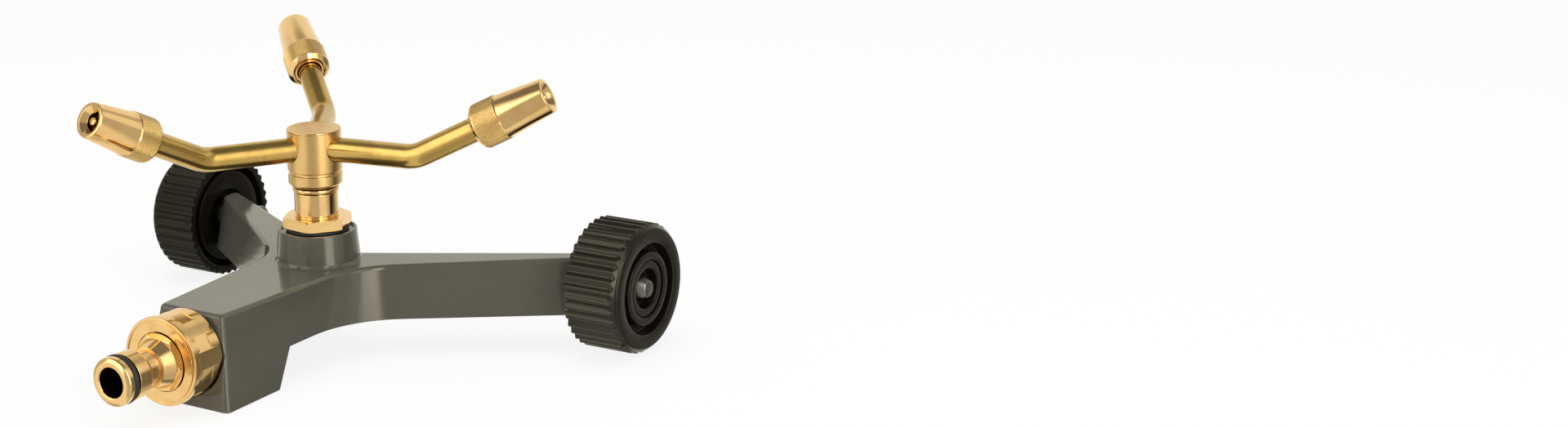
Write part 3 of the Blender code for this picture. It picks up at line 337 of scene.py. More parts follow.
grainedLook = {"cloudScale": 110.0, "smudgeScale": 300.0, "gloss": 0.5, "sheenTint": (1, 1, 1)}
enamelLook = dict(grainedLook, colour=(0.086, 0.084, 0.066), clouding=(0.098, 0.095, 0.075),
                  roughness=(0.08, 0.13), cloudScale=55.0, smudgeScale=160.0, grainScale=700.0,
                  grainDepth=0.000012, sheenTint=(1.0, 0.95, 0.84))  # its grain is orange peel
plasticLook = dict(grainedLook, colour=(0.0066, 0.0054, 0.0036), clouding=(0.011, 0.009, 0.0065),
                   roughness=(0.20, 0.32), grainScale=1800.0, grainDepth=0.000012, gloss=0.30,
                   sheenTint=(1.0, 0.95, 0.82))
wornLook = dict(plasticLook, gloss=0.38, roughness=(0.15, 0.24))  # rib crests that rub on paths
shadedWheelLook = dict(plasticLook, gloss=0.13)  # painted shade: a less glossy copy of the wheel plastic, so the left wheel looks the darker one
rubberLook = dict(grainedLook, colour=(0.007, 0.007, 0.006), clouding=(0.014, 0.013, 0.012),
                  roughness=(0.45, 0.62), grainScale=1500.0, grainDepth=0.00001)
steelLook = dict(grainedLook, colour=(0.22, 0.22, 0.21), clouding=(0.15, 0.15, 0.14),
                 roughness=(0.22, 0.34), grainScale=900.0, grainDepth=0.000006)
bearingLook = dict(grainedLook, colour=(0.030, 0.029, 0.027), clouding=(0.045, 0.043, 0.040),
                   roughness=(0.40, 0.55), grainScale=1200.0, grainDepth=0.000008)


def makeGrained(name, look, metallic=0.0):  # painted, moulded or plated: clouded tone with a fine grain
    material, tree, shader = newMaterial(name, look["colour"], look["roughness"][0], metallic)
    cloud = objectNoise(tree, look["cloudScale"], detail=4.0)
    smudge = objectNoise(tree, look["smudgeScale"])
    tree.links.new(blended(tree, spread(tree, cloud, 0, 1), look["colour"], look["clouding"]),
                   shader.inputs["Base Color"])
    tree.links.new(spread(tree, smudge, *look["roughness"]), shader.inputs["Roughness"])
    bumped(tree, shader, objectNoise(tree, look["grainScale"], detail=2.0), look["grainDepth"])
    shader.inputs["Specular IOR Level"].default_value = look["gloss"]
    shader.inputs["Specular Tint"].default_value = (*look["sheenTint"], 1)
    return material


paint = makeGrained("greyEnamel", enamelLook)
brass = makeBrass("turnedBrass", brassLook)
polishedBrass = makeBrass("polishedBrass", polishedLook)
satinBrass = makeBrass("satinBrass", satinLook)
knurlBrass = makeBrass("knurledBrass", knurlLook)
tubeBrass = makeBrass("drawnBrass", tubeLook, lengthways=True)
wheelPlastic = makeGrained("wheelPlastic", plasticLook)
# painted shade: the left wheel's duller copy of the same plastic
shadedWheelPlastic = makeGrained("shadedWheelPlastic", shadedWheelLook)
wornPlastic = makeGrained("wornPlastic", wornLook)
rubber = makeGrained("sealRubber", rubberLook)
steel = makeGrained("platedSteel", steelLook, 1.0)
bearingPlastic = makeGrained("bearingPlastic", bearingLook)
print("finishes made")


# Cast base

casting = {
    "legEndX": 0.0800, "legRootFrontY": -0.0163, "legRootBackY": 0.0075, "legCorner": 0.0018,
    "legTopEndHalf": 0.0038, "legBottomEndHalf": 0.0096, "inletRootY": 0.0330,
    "topRootHalf": 0.0153, "bottomRootHalf": 0.0158, "topFront": 0.0676, "bottomFront": 0.0704,
    "topBlockHalf": 0.0131, "bottomBlockHalf": 0.0160, "blockCorner": 0.0021,
    "topCrotch": 0.0300, "bottomCrotch": 0.0360, "crotchChords": 28,
    "topZ": 0.0310, "bottomZ": 0.0125, "edgeRound": 0.0014, "footRound": 0.0005,
    "footHalf": 0.0178, "footFront": 0.0723, "footRear": 0.0455, "footTopRear": 0.0370,
    "wall": 0.0027, "pocketStartX": 0.0230, "pocketRib": 0.0024, "pocketCorner": 0.0015, "roofRound": 0.0012,
    "drumRadius": 0.0153, "drumRound": 0.0005, "bossFootRadius": 0.0143, "bossTopRadius": 0.0134,
    "bossTopZ": 0.0417, "bossRound": 0.0005, "bossFillet": 0.0009, "filletFlare": 0.7, "filletRound": 0.6,
    "recessDepth": 0.0008, "rimWall": 0.0009, "socketRadius": 0.0083, "socketDepth": 0.0149,
    "waterBore": 0.0032, "inletZ": 0.0178, "nutSeat": 0.0686, "seatRadius": 0.0148,
    "stubRadius": 0.0109, "stubLength": 0.0081, "stubRound": 0.0006, "stubBore": 0.0060,
    "stubBoreDepth": 0.0140, "axleDepth": 0.0120, "axleBore": 0.0033, "axleBossWall": 0.0022,
    "axleBossRound": 0.0010,
}
atRotor = Matrix.Translation((0, rotorAxis.y, 0))
alongInlet = Matrix.Translation((0, 0, casting["inletZ"])) @ Matrix.Rotation(pi / 2, 4, "X")
atInlet = atRotor @ alongInlet
axleY = wheelAxis.y - rotorAxis.y


def legEdgeY(size, x, endHalf, back=False):  # front or back edge of the right wheel leg
    root = size["legRootBackY"] if back else size["legRootFrontY"]
    end = axleY + endHalf if back else axleY - endHalf
    return root + (end - root) * x / size["legEndX"]


def castingOutline(size, front, blockHalf, rootHalf, endHalf, crotchRadius):  # seen from above, at one height
    sideSlope = (rootHalf - blockHalf) / (front - size["inletRootY"])
    legSlope = (axleY - endHalf - size["legRootFrontY"]) / size["legEndX"]
    sideAtZero = rootHalf + sideSlope * size["inletRootY"]
    crotchX = (sideAtZero + sideSlope * size["legRootFrontY"]) / (1 - sideSlope * legSlope)
    right = [
        (blockHalf, -front, size["blockCorner"]),
        (sideAtZero - sideSlope * size["footTopRear"], -size["footTopRear"]),
        (crotchX, legEdgeY(size, crotchX, endHalf), crotchRadius, size["crotchChords"]),
        (size["legEndX"], axleY - endHalf, size["legCorner"]),
        (size["legEndX"], axleY + endHalf, size["legCorner"]),
    ]
    left = [(-corner[0], *corner[1:]) for corner in reversed(right)]
    return rounded(right + [(0, size["legRootBackY"])] + left)


def lofted(lower, upper, lowerZ, upperZ):
    bm = bmesh.new()
    low = [bm.verts.new((*point, lowerZ)) for point in lower]
    high = [bm.verts.new((*point, upperZ)) for point in upper]
    for index in range(len(low)):
        after = (index + 1) % len(low)
        bm.faces.new((low[index], low[after], high[after], high[index]))
    bm.faces.new(low)
    bm.faces.new(high)
    bmesh.ops.recalc_face_normals(bm, faces=bm.faces[:])
    return bm


def castingBody(size):  # three drafted legs, the front of the inlet leg drawn down to the ground
    lower = castingOutline(size, size["bottomFront"], size["bottomBlockHalf"], size["bottomRootHalf"],
                           size["legBottomEndHalf"], size["bottomCrotch"])
    upper = castingOutline(size, size["topFront"], size["topBlockHalf"], size["topRootHalf"],
                           size["legTopEndHalf"], size["topCrotch"])
    bm = lofted(lower, upper, size["bottomZ"], size["topZ"])
    bottom = min(bm.faces, key=lambda face: face.calc_center_median().z)
    rear = [vert for vert in bottom.verts if abs(vert.co.y + size["footTopRear"]) < tiny]
    bmesh.utils.face_split(bottom, *rear)
    low = [face for face in bm.faces if all(vert.co.z < size["bottomZ"] + tiny for vert in face.verts)]
    foot = bmesh.ops.extrude_discrete_faces(bm, faces=[min(low, key=lambda f: f.calc_center_median().y)])
    stretch = (size["footFront"] - size["footRear"]) / (size["bottomFront"] - size["footTopRear"])
    for vert in foot["faces"][0].verts:
        vert.co.x *= size["footHalf"] / size["bottomBlockHalf"]
        vert.co.y = (vert.co.y + size["footTopRear"]) * stretch - size["footRear"]
        vert.co.z = 0
    bm.normal_update()
    topEdges = [edge for edge in bm.edges if all(v.co.z > size["topZ"] - tiny for v in edge.verts)]
    bmesh.ops.bevel(bm, geom=topEdges, offset=size["edgeRound"], segments=5, profile=0.5, affect="EDGES")
    footEdges = [edge for edge in bm.edges if all(v.co.z < tiny for v in edge.verts)]
    bmesh.ops.bevel(bm, geom=footEdges, offset=size["footRound"], segments=2, profile=0.5, affect="EDGES")
    return meshFrom(bm, "castBody")


def castingPocket(size, startX, endX):  # core that hollows the right wheel leg from below
    def outline(endHalf):
        edges = []
        for back, inward in ((False, 1), (True, -1)):
            slope = legEdgeY(size, 1, endHalf, back) - legEdgeY(size, 0, endHalf, back)
            inset = inward * size["wall"] * hypot(1, slope)
            edges.append([(x, legEdgeY(size, x, endHalf, back) + inset, size["pocketCorner"])
                          for x in (startX, endX)])
        return rounded(edges[0] + edges[1][::-1])

    roofZ = size["topZ"] - size["wall"]
    share = (roofZ - size["bottomZ"]) / (size["topZ"] - size["bottomZ"])
    roofHalf = size["legBottomEndHalf"] + (size["legTopEndHalf"] - size["legBottomEndHalf"]) * share
    bm = lofted(outline(size["legBottomEndHalf"]), outline(roofHalf), size["bottomZ"], roofZ)
    roof = [edge for edge in bm.edges if all(v.co.z > roofZ - tiny for v in edge.verts)]
    bmesh.ops.bevel(bm, geom=roof, offset=size["roofRound"], segments=3, profile=0.5, affect="EDGES")
    for vert in bm.verts:
        if vert.co.z < size["bottomZ"] + tiny:  # the core runs out below
            vert.co.z -= size["wall"]
    return meshFrom(bm, "pocket")


def mirroredMesh(mesh):
    twin = mesh.copy()
    twin.transform(Matrix.Scale(-1, 4, (1, 0, 0)))
    twin.flip_normals()
    return twin


def makeCasting(size):
    recessZ = size["bossTopZ"] - size["recessDepth"]
    recessRadius = size["bossTopRadius"] - size["rimWall"]
    socketFloor = recessZ - size["socketDepth"]
    drumZ = size["bottomZ"] + size["drumRound"]
    fillet = size["bossFillet"]
    boss = turned("boss", [
        (0, drumZ), (size["drumRadius"], drumZ, size["drumRound"]),
        (size["bossFootRadius"] + fillet * size["filletFlare"], size["topZ"]),
        (size["bossFootRadius"], size["topZ"] + fillet, fillet * size["filletRound"]),
        (size["bossTopRadius"], size["bossTopZ"], size["bossRound"]), (0, size["bossTopZ"]),
    ])
    socket = turned("socket", [
        (0, size["inletZ"]), (size["waterBore"], size["inletZ"]), (size["waterBore"], socketFloor),
        (size["socketRadius"], socketFloor), (size["socketRadius"], recessZ), (recessRadius, recessZ),
        (recessRadius, size["bossTopZ"] + beyond), (0, size["bossTopZ"] + beyond),
    ], 64)

    seatZ = size["nutSeat"]
    stubStart = seatZ - size["stubLength"]
    stubEnd = seatZ + size["stubLength"]
    boreStep = stubEnd - size["stubBoreDepth"]
    seat = plainRing("seat", 0, size["seatRadius"], seatZ, seatZ + beyond)
    stub = turned("stub", [(0, stubStart), (size["stubRadius"], stubStart),
                           (size["stubRadius"], stubEnd, size["stubRound"]), (0, stubEnd)])
    passage = turned("passage", [
        (0, -size["waterBore"]), (size["waterBore"], -size["waterBore"]), (size["waterBore"], boreStep),
        (size["stubBore"], boreStep), (size["stubBore"], stubEnd + beyond), (0, stubEnd + beyond),
    ], 64)
    for mesh in (seat, stub, passage):
        mesh.transform(alongInlet)

    pocketEnd = size["legEndX"] - size["axleDepth"] - size["wall"]
    pocketLength = (pocketEnd - size["pocketStartX"] - size["pocketRib"]) / 2
    pockets = [castingPocket(size, size["pocketStartX"], size["pocketStartX"] + pocketLength),
               castingPocket(size, pocketEnd - pocketLength, pocketEnd)]
    axleBossRadius = size["axleBore"] + size["axleBossWall"]
    axleBossEnd = size["axleDepth"] + size["axleBossWall"]
    axleBossStart = size["axleBossWall"] / 2
    holeEnd = size["axleDepth"] + gap
    joined = [("UNION", boss), ("DIFFERENCE", seat), ("UNION", stub)]
    cuts = [("DIFFERENCE", socket), ("DIFFERENCE", passage)]
    for side in (1, -1):
        place = (Matrix.Translation((side * size["legEndX"], axleY, wheelAxis.z))
                 @ Matrix.Rotation(side * pi / 2, 4, "Y"))
        axleBoss = turned("axleBoss", [
            (0, -axleBossEnd), (axleBossRadius, -axleBossEnd, size["axleBossRound"]),
            (axleBossRadius, -axleBossStart), (0, -axleBossStart)], 48)
        hole = plainRing("axleHole", 0, size["axleBore"], -holeEnd, size["axleDepth"], 48)
        axleBoss.transform(place)
        hole.transform(place)
        joined.append(("UNION", axleBoss))
        cuts.append(("DIFFERENCE", hole))
        cuts += [("DIFFERENCE", mesh if side > 0 else mirroredMesh(mesh)) for mesh in pockets]
    return shaded(carved(castingBody(size), joined + cuts, "castBase"), 28)


addPiece("castBase", makeCasting(casting), paint, "base", ["base_casting"], atRotor)
print("cast base made")


# Water inlet: union nut, hose nipple and seal ring

inlet = {
    "setback": 0.0004, "bore": 0.0112, "bodyRadius": 0.0142, "flangeRadius": 0.0148,
    "flangeLength": 0.0026, "rearLength": 0.0044, "edge": 0.0005, "edgeBevel": 0.00018,
    "front": 0.0830, "lip": 0.0018, "grooveInset": 0.0010, "grooveWidth": 0.0005, "grooveDepth": 0.0004,
    "flatCount": 8, "flatInset": 0.00025, "flatAngle": radians(5.7), "flatSetback": 0.0015,
    "collarStart": 0.0791, "collarThickness": 0.0018, "hexRadius": 0.0096, "hexLength": 0.0016,
    "hexAngle": radians(-5), "hexChamfer": 0.0006, "trimClear": 1.06, "trimTop": 1.02,
    "neckRadius": 0.0066, "neckLength": 0.0053, "neckRound": 0.0020, "coneLength": 0.0015,
    "coneRound": 0.0012, "barrelLength": 0.0107, "barrelRound": 0.0006, "noseRadius": 0.0080,
    "noseBevel": 0.0013, "noseBevelLength": 0.00078, "noseRound": 0.0008, "boreRadius": 0.0049,
    "mouthRound": 0.0006, "nippleLength": 0.0237, "ringSetback": 0.0028, "ringThickness": 0.0022,
    "ringStand": 0.0002,
}


def makeUnionNut(size):
    rear = casting["nutSeat"] + size["setback"]
    front = size["front"]
    flangeRear = front - size["flangeLength"]
    grooveOuter = size["flangeRadius"] - size["grooveInset"]
    grooveInner = grooveOuter - size["grooveWidth"]
    grooveFloor = front - size["grooveDepth"]
    lipRadius = size["hexRadius"] + gap
    lipStart = front - size["lip"]
    nut = turned("unionNut", [
        (size["bore"], rear, slight), (size["bodyRadius"], rear, size["edge"]),
        (size["bodyRadius"], flangeRear - fine), (size["flangeRadius"], flangeRear + slight, slight),
        (size["flangeRadius"], front, size["edge"]), (grooveOuter, front, crisp),
        (grooveOuter, grooveFloor), (grooveInner, grooveFloor), (grooveInner, front, crisp),
        (lipRadius, front, slight), (lipRadius, lipStart), (size["bore"], lipStart),
    ], 128)
    start = rear + size["rearLength"]
    end = flangeRear - size["flatSetback"]
    corner = (size["bodyRadius"] - size["flatInset"]) / cos(pi / size["flatCount"])
    flats = plainRing("flats", corner, corner + beyond, start, end, size["flatCount"])
    flats.transform(Matrix.Rotation(size["flatAngle"], 4, "Z"))
    return shaded(carved(nut, [("DIFFERENCE", flats)], "unionNut"), 20, size["edgeBevel"])


# Hexagon from low to high with its upper corners turned off; foot starts the outline that does it
def trimmedHexagon(size, low, high, foot):
    flat = size["hexRadius"] * cos(pi / 6)
    hexagon = plainRing("hexagon", size["boreRadius"] + overlap, size["hexRadius"], low, high, 6)
    hexagon.transform(Matrix.Rotation(size["hexAngle"], 4, "Z"))
    trim = turned("trim", foot + [
        (size["hexRadius"] * size["trimClear"], high - size["hexChamfer"]), (flat * size["trimTop"], high),
        (flat, high + beyond), (axisHole, high + beyond)])
    return carved(hexagon, [("INTERSECT", trim)], "hexagon")


def makeNipple(size):
    front = size["front"]
    nose = front + size["nippleLength"]
    ringFront = nose - size["ringSetback"]
    ringRear = ringFront - size["ringThickness"] - 2 * gap
    grooveRadius = size["noseRadius"] + size["ringStand"] - size["ringThickness"] - gap
    barrelEnd = nose - size["barrelLength"]
    neckFront = barrelEnd - size["coneLength"]
    neckRear = neckFront - size["neckLength"]
    collarEnd = size["collarStart"] + size["collarThickness"]
    hexFront = front + gap + size["hexLength"]
    flat = size["hexRadius"] * cos(pi / 6)
    nipple = turned("nipple", [
        (size["boreRadius"], size["collarStart"]), (size["bore"] - gap, size["collarStart"], slight),
        (size["bore"] - gap, collarEnd, slight), (size["hexRadius"], collarEnd),
        (size["hexRadius"], front + gap), (flat, front + gap), (flat, hexFront),
        (size["neckRadius"], neckRear, size["neckRound"]), (size["neckRadius"], neckFront, size["coneRound"]),
        (size["noseRadius"], barrelEnd, size["barrelRound"]), (size["noseRadius"], ringRear, fine),
        (grooveRadius, ringRear), (grooveRadius, ringFront), (size["noseRadius"], ringFront, fine),
        (size["noseRadius"], nose - size["noseBevelLength"], size["noseRound"]),
        (size["noseRadius"] - size["noseBevel"], nose, size["noseRound"]),
        (size["boreRadius"], nose, size["mouthRound"]),
    ], soften=4)
    hexagon = trimmedHexagon(size, front - size["lip"] / 2, hexFront, [
        (axisHole, front - beyond), (size["hexRadius"] + beyond, front - beyond)])
    return shaded(carved(nipple, [("UNION", hexagon)], "hoseNipple"), 28)


addPiece("unionNut", makeUnionNut(inlet), brass, "base", ["union_nut"], atInlet)
addPiece("hoseNipple", makeNipple(inlet), brass, "base", ["inlet_nipple"], atInlet)
ringMiddle = inlet["noseRadius"] + inlet["ringStand"] - inlet["ringThickness"] / 2
ringHeight = inlet["front"] + inlet["nippleLength"] - inlet["ringSetback"] - inlet["ringThickness"] / 2 - gap
nippleRing = tubeRing("nippleRing", ringMiddle, inlet["ringThickness"], ringHeight)
addPiece("nippleRing", nippleRing, rubber, "base", ["nipple_oring"], atInlet)
print("water inlet made")


# Spindle: hexagon, column and journal

spindle = {
    "hexZ": 0.0426, "hexRadius": 0.0120, "hexHeight": 0.0038, "hexAngle": radians(-8),
    "hexChamfer": 0.0006, "trimClear": 1.01, "trimTop": 0.99, "stemRadius": 0.0080,
    "stemLength": 0.0150, "stemRound": 0.0006, "columnRadius": 0.00745, "columnHeight": 0.0083,
    "undercut": 0.00025, "journalRadius": 0.0050, "journalTop": 0.0699, "boreRadius": 0.0030,
    "clipRadius": 0.0045, "clipZ": 0.0674, "clipThickness": 0.0010, "washerRadius": 0.0079,
    "washerLift": 0.0013, "cupRadius": 0.0071, "gasketRadius": 0.0108, "gasketThickness": 0.0011,
}
headLift = 0.00125  # the head's foot and the washer under it sit a little higher than in the CAD


def makeSpindle(size):
    hexZ = size["hexZ"]
    columnZ = hexZ + size["hexHeight"]
    journalZ = columnZ + size["columnHeight"]
    waist = size["columnRadius"] - size["undercut"]
    clipFoot = size["clipZ"] - gap
    clipTop = size["clipZ"] + size["clipThickness"] + gap
    shaft = turned("shaft", [
        (size["boreRadius"], hexZ - size["stemLength"]),
        (size["stemRadius"], hexZ - size["stemLength"], size["stemRound"]), (size["stemRadius"], hexZ),
        (size["stemRadius"], columnZ - 1.5 * overlap), (waist, columnZ - overlap),
        (waist, columnZ + soft, fine), (size["columnRadius"], columnZ + soft + fine, fine),
        (size["columnRadius"], journalZ, slight), (size["journalRadius"], journalZ),
        (size["journalRadius"], clipFoot), (size["clipRadius"], clipFoot), (size["clipRadius"], clipTop),
        (size["journalRadius"], clipTop), (size["journalRadius"], size["journalTop"], slight),
        (size["boreRadius"], size["journalTop"]),
    ])
    flat = size["hexRadius"] * cos(pi / 6)
    hexagon = trimmedHexagon(size, hexZ, columnZ, [
        (axisHole, hexZ - 2 * overlap), (flat, hexZ - fine),
        (size["hexRadius"] * size["trimClear"], hexZ + slight)])
    return shaded(carved(shaft, [("UNION", hexagon)], "spindle"), 20)


def makeGasket(size):
    bore = size["stemRadius"] + gap
    foot = casting["bossTopZ"] - casting["recessDepth"] + gap
    top = foot + size["gasketThickness"]
    return turned("gasket", [(bore, foot), (size["gasketRadius"], foot, slight),
                             (size["gasketRadius"], top, slight), (bore, top)])


def makeThrustWasher(size):  # cupped round the foot of the bush
    low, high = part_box("lower_thrust_washer")
    bore = size["journalRadius"] + gap
    foot = low.z + size["washerLift"]
    rim = high.z + headLift - gap
    return turned("thrustWasher", [
        (bore, foot), (size["washerRadius"], foot, soft), (size["washerRadius"], rim, soft),
        (size["cupRadius"], rim), (size["cupRadius"], high.z), (bore, high.z)])


addPiece("spindleBody", makeSpindle(spindle), brass, "base", ["spindle"], atRotor)
addPiece("spindleGasket", makeGasket(spindle), rubber, "base", ["spindle_gasket"], atRotor)
addPiece("thrustWasher", makeThrustWasher(spindle), brass, "base", ["lower_thrust_washer"], atRotor)
print("spindle made")


# Rotor head and cap

rotor = {
    "radius": 0.0092, "wall": 0.0019, "collarStep": 0.0001, "collarHeight": 0.0042,
    "collarChamfer": 0.0009, "grooveDepth": 0.0006, "grooveHeight": 0.0010, "bushRadius": 0.0069,
    "bushTop": 0.0091, "armSocket": 0.00425, "armDepth": 0.0006, "armZ": 0.0698, "capEdge": 0.0003,
    "capRim": 0.0005, "capLift": 0.0003, "capFlat": 0.86, "capDish": 0.00003, "seamWidth": 0.00006,
    "seamEdge": 0.00008,
}
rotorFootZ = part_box("rotor_head")[0].z
capLow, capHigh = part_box("rotor_cap")
capTopZ = capHigh.z + rotor["capLift"]
armAngles = [atan2(joints[f"nozzle_{number}_twist"]["pos_m"][1] - rotorAxis.y,
                   joints[f"nozzle_{number}_twist"]["pos_m"][0]) for number in (1, 2, 3)]


def makeRotorHead(size):
    collar = size["radius"] - size["collarStep"]
    groove = collar - size["grooveDepth"]
    foot = rotorFootZ + headLift
    grooveZ = foot + size["collarHeight"]
    grooveTop = grooveZ + size["grooveHeight"]
    chamber = size["radius"] - size["wall"]
    floorZ = rotorFootZ + size["bushTop"]
    seam = capTopZ - size["capRim"] - size["seamWidth"]  # hairline joint under the cap
    head = turned("rotorHead", [
        (size["bushRadius"], foot, fine), (collar - size["collarChamfer"], foot, slight),
        (collar, foot + size["collarChamfer"], soft), (collar, grooveZ, slight), (groove, grooveZ, fine),
        (groove, grooveTop, fine), (size["radius"], grooveTop + size["collarStep"], slight),
        (size["radius"], seam, size["seamEdge"]), (chamber, seam), (chamber, floorZ),
        (size["bushRadius"], floorZ),
    ], 128)
    start = chamber - size["armDepth"]
    end = size["radius"] + beyond
    sockets = []
    for angle in armAngles:
        socket = plainRing("socket", 0, size["armSocket"], start, end, 64)
        socket.transform(Matrix.Rotation(angle, 4, "Z") @ Matrix.Translation((0, 0, size["armZ"]))
                         @ Matrix.Rotation(pi / 2, 4, "Y"))
        sockets.append(("DIFFERENCE", socket))
    return shaded(carved(head, sockets, "rotorHead"), 28)


def makeRotorCap(size):
    spigot = size["radius"] - size["wall"] - gap
    rim = capTopZ - size["capRim"]
    return turned("rotorCap", [
        (0, capLow.z), (spigot, capLow.z, fine), (spigot, rim), (size["radius"], rim, crisp),
        (size["radius"], capTopZ, size["capEdge"]), (size["radius"] * size["capFlat"], capTopZ),
        (0, capTopZ - size["capDish"]),
    ], 128)


addPiece("rotorHead", makeRotorHead(rotor), satinBrass, "rotor", ["rotor_head"], atRotor)
addPiece("rotorCap", makeRotorCap(rotor), satinBrass, "rotor", ["rotor_cap"], atRotor)
print("rotor made")


# Arms: tubes bent once, swept along a filleted line

arm = {"rootReach": 0.0076, "tubeReach": 0.0305}
armSizes = {"Tube radius": 0.00415, "Bend radius": 0.0130, "Bend steps": 14, "Facets": 48}


def makeTubeTree(sizes):
    tree, given = newTree("bentTube", sizes)
    line = nodeOut(tree, "GeometryNodeMeshToCurve", {0: given["Geometry"]})
    bent = nodeOut(tree, "GeometryNodeFilletCurve", {"Curve": line, "Count": given["Bend steps"],
                                                     "Radius": given["Bend radius"]}, mode="POLY")
    section = nodeOut(tree, "GeometryNodeCurvePrimitiveCircle", {"Resolution": given["Facets"],
                                                                 "Radius": given["Tube radius"]})
    spline = addNode(tree, "GeometryNodeSplineParameter").outputs

    def captured(curve, value, name):  # the curve with its value kept for the swept tube
        node = addNode(tree, "GeometryNodeCaptureAttribute", {"Geometry": curve})
        node.capture_items.new("FLOAT", name)
        tree.links.new(value, node.inputs[name])
        return node.outputs["Geometry"], node.outputs[name]

    path, along = captured(bent, spline["Length"], "along")
    profile, turn = captured(section, spline["Factor"], "turn")
    tube = nodeOut(tree, "GeometryNodeCurveToMesh", {"Curve": path, "Profile Curve": profile,
                                                     "Fill Caps": True})
    wrap = aroundAxis(tree, 1.0, maths(tree, "MULTIPLY", turn, 2 * pi), along)
    stored = nodeOut(tree, "GeometryNodeStoreNamedAttribute",
                     {"Geometry": tube, "Name": "wrap", "Value": wrap},
                     data_type="FLOAT_VECTOR", domain="POINT")
    endTree(tree, stored, given)
    return tree


tubeTree = makeTubeTree(armSizes)
for number in (1, 2, 3):
    joint = joints[f"nozzle_{number}_twist"]
    bend = Vector(joint["pos_m"])
    outward = Vector(joint["axis"]).normalized()
    angle = armAngles[number - 1]
    root = Vector((arm["rootReach"] * cos(angle), rotorAxis.y + arm["rootReach"] * sin(angle), rotor["armZ"]))
    line = bpy.data.meshes.new("tubeLine")
    line.from_pydata([root, bend, bend + outward * arm["tubeReach"]], [(0, 1), (1, 2)], [])
    bm = bmesh.new()
    bm.from_mesh(grown(tubeTree, armSizes, tubeBrass, line))
    addPiece(f"armTube{number}", meshFrom(bm, "armTube"), tubeBrass, "rotor", [f"arm_tube_{number}"])
print("arms made")


# Nozzles: knurled sleeve with its cone, stem with its pin

nozzle = {
    "rear": 0.0245, "tip": 0.05098, "knurlRadius": 0.0077, "knurlDepth": 0.00016, "knurlLength": 0.0103,
    "rearBevel": 0.0015, "frontBevel": 0.0005, "coneBase": 0.0073, "coneTip": 0.0059, "tipEdge": 0.0004,
    "mouthRadius": 0.0046, "mouthDepth": 0.0018, "holeRadius": 0.0028, "holeLength": 0.0022,
    "coneLength": 0.0045, "recessRadius": 0.0058, "recessDepth": 0.0010, "bore": 0.00555,
    "advances": (-0.00075, 0, 0),  # the right one is screwed further on
}
stem = {
    "bore": 0.00445, "body": 0.00525, "rear": 0.0245, "floor": 0.0308, "land": 0.0022, "groove": 0.0014,
    "grooveDepth": 0.0010, "frontLand": 0.0014, "taper": 0.0022, "neckRadius": 0.0024, "neckLength": 0.0028,
    "waterBore": 0.0016, "crossHole": 0.0008, "pinRadius": 0.0013, "pinSetback": 0.0013, "pinRound": 0.0006,
}
knurlSizes = {"Points round": 70, "Rows": 23, "Radius": 0.00752, "Start": 0.0261, "Length": 0.0081,
              "Point height": 0.00014, "Point top": 0.16}


def makeKnurlTree(sizes):  # rows of small pyramids round a cylinder, each row half a pitch on
    tree, given = newTree("knurl", sizes)
    plus, times, over = arithmetic(tree)
    index = nodeOut(tree, "GeometryNodeInputIndex")
    row = maths(tree, "FLOOR", over(index, given["Points round"]))
    column = maths(tree, "MODULO", index, given["Points round"])
    offset = times(maths(tree, "MODULO", row, 2.0), 0.5)
    pitch = over(2 * pi, given["Points round"])
    rowPitch = over(given["Length"], given["Rows"])
    angle = times(plus(column, offset), pitch)
    height = plus(given["Start"], times(plus(row, 0.5), rowPitch))
    points = nodeOut(tree, "GeometryNodePoints", {
        "Count": times(given["Points round"], given["Rows"]),
        "Position": aroundAxis(tree, given["Radius"], angle, height)})
    halfWidth = times(times(pitch, given["Radius"]), 0.5)
    pyramid = nodeOut(tree, "GeometryNodeMeshCone", {
        "Vertices": 4, "Side Segments": 1, "Fill Segments": 1, "Radius Bottom": halfWidth,
        "Radius Top": times(halfWidth, given["Point top"]), "Depth": given["Point height"]})
    turn = nodeOut(tree, "ShaderNodeCombineXYZ", {1: pi / 2, 2: angle})
    scale = nodeOut(tree, "ShaderNodeCombineXYZ", {0: over(rowPitch, halfWidth), 1: 1.0, 2: 1.0})
    spots = nodeOut(tree, "GeometryNodeInstanceOnPoints", {"Points": points, "Instance": pyramid,
                                                           "Rotation": turn, "Scale": scale})
    endTree(tree, spots, given)
    return tree


def makeSleeve(size):
    rear = size["rear"]
    knurlEnd = rear + size["knurlLength"]
    mouth = size["tip"] - size["mouthDepth"]
    holeRear = mouth - size["holeLength"]
    recessEnd = rear + size["recessDepth"]
    core = size["knurlRadius"] - size["knurlDepth"]
    return turned("sleeve", [
        (size["recessRadius"], rear, fine), (size["knurlRadius"] - size["rearBevel"], rear, fine),
        (core, rear + size["rearBevel"] - fine, fine), (core, knurlEnd - size["frontBevel"], fine),
        (size["coneBase"], knurlEnd, crisp), (size["coneTip"], size["tip"], size["tipEdge"]),
        (size["mouthRadius"], size["tip"], fine), (size["holeRadius"], mouth, fine),
        (size["holeRadius"], holeRear), (size["bore"], holeRear - size["coneLength"]),
        (size["bore"], recessEnd), (size["recessRadius"], recessEnd),
    ])


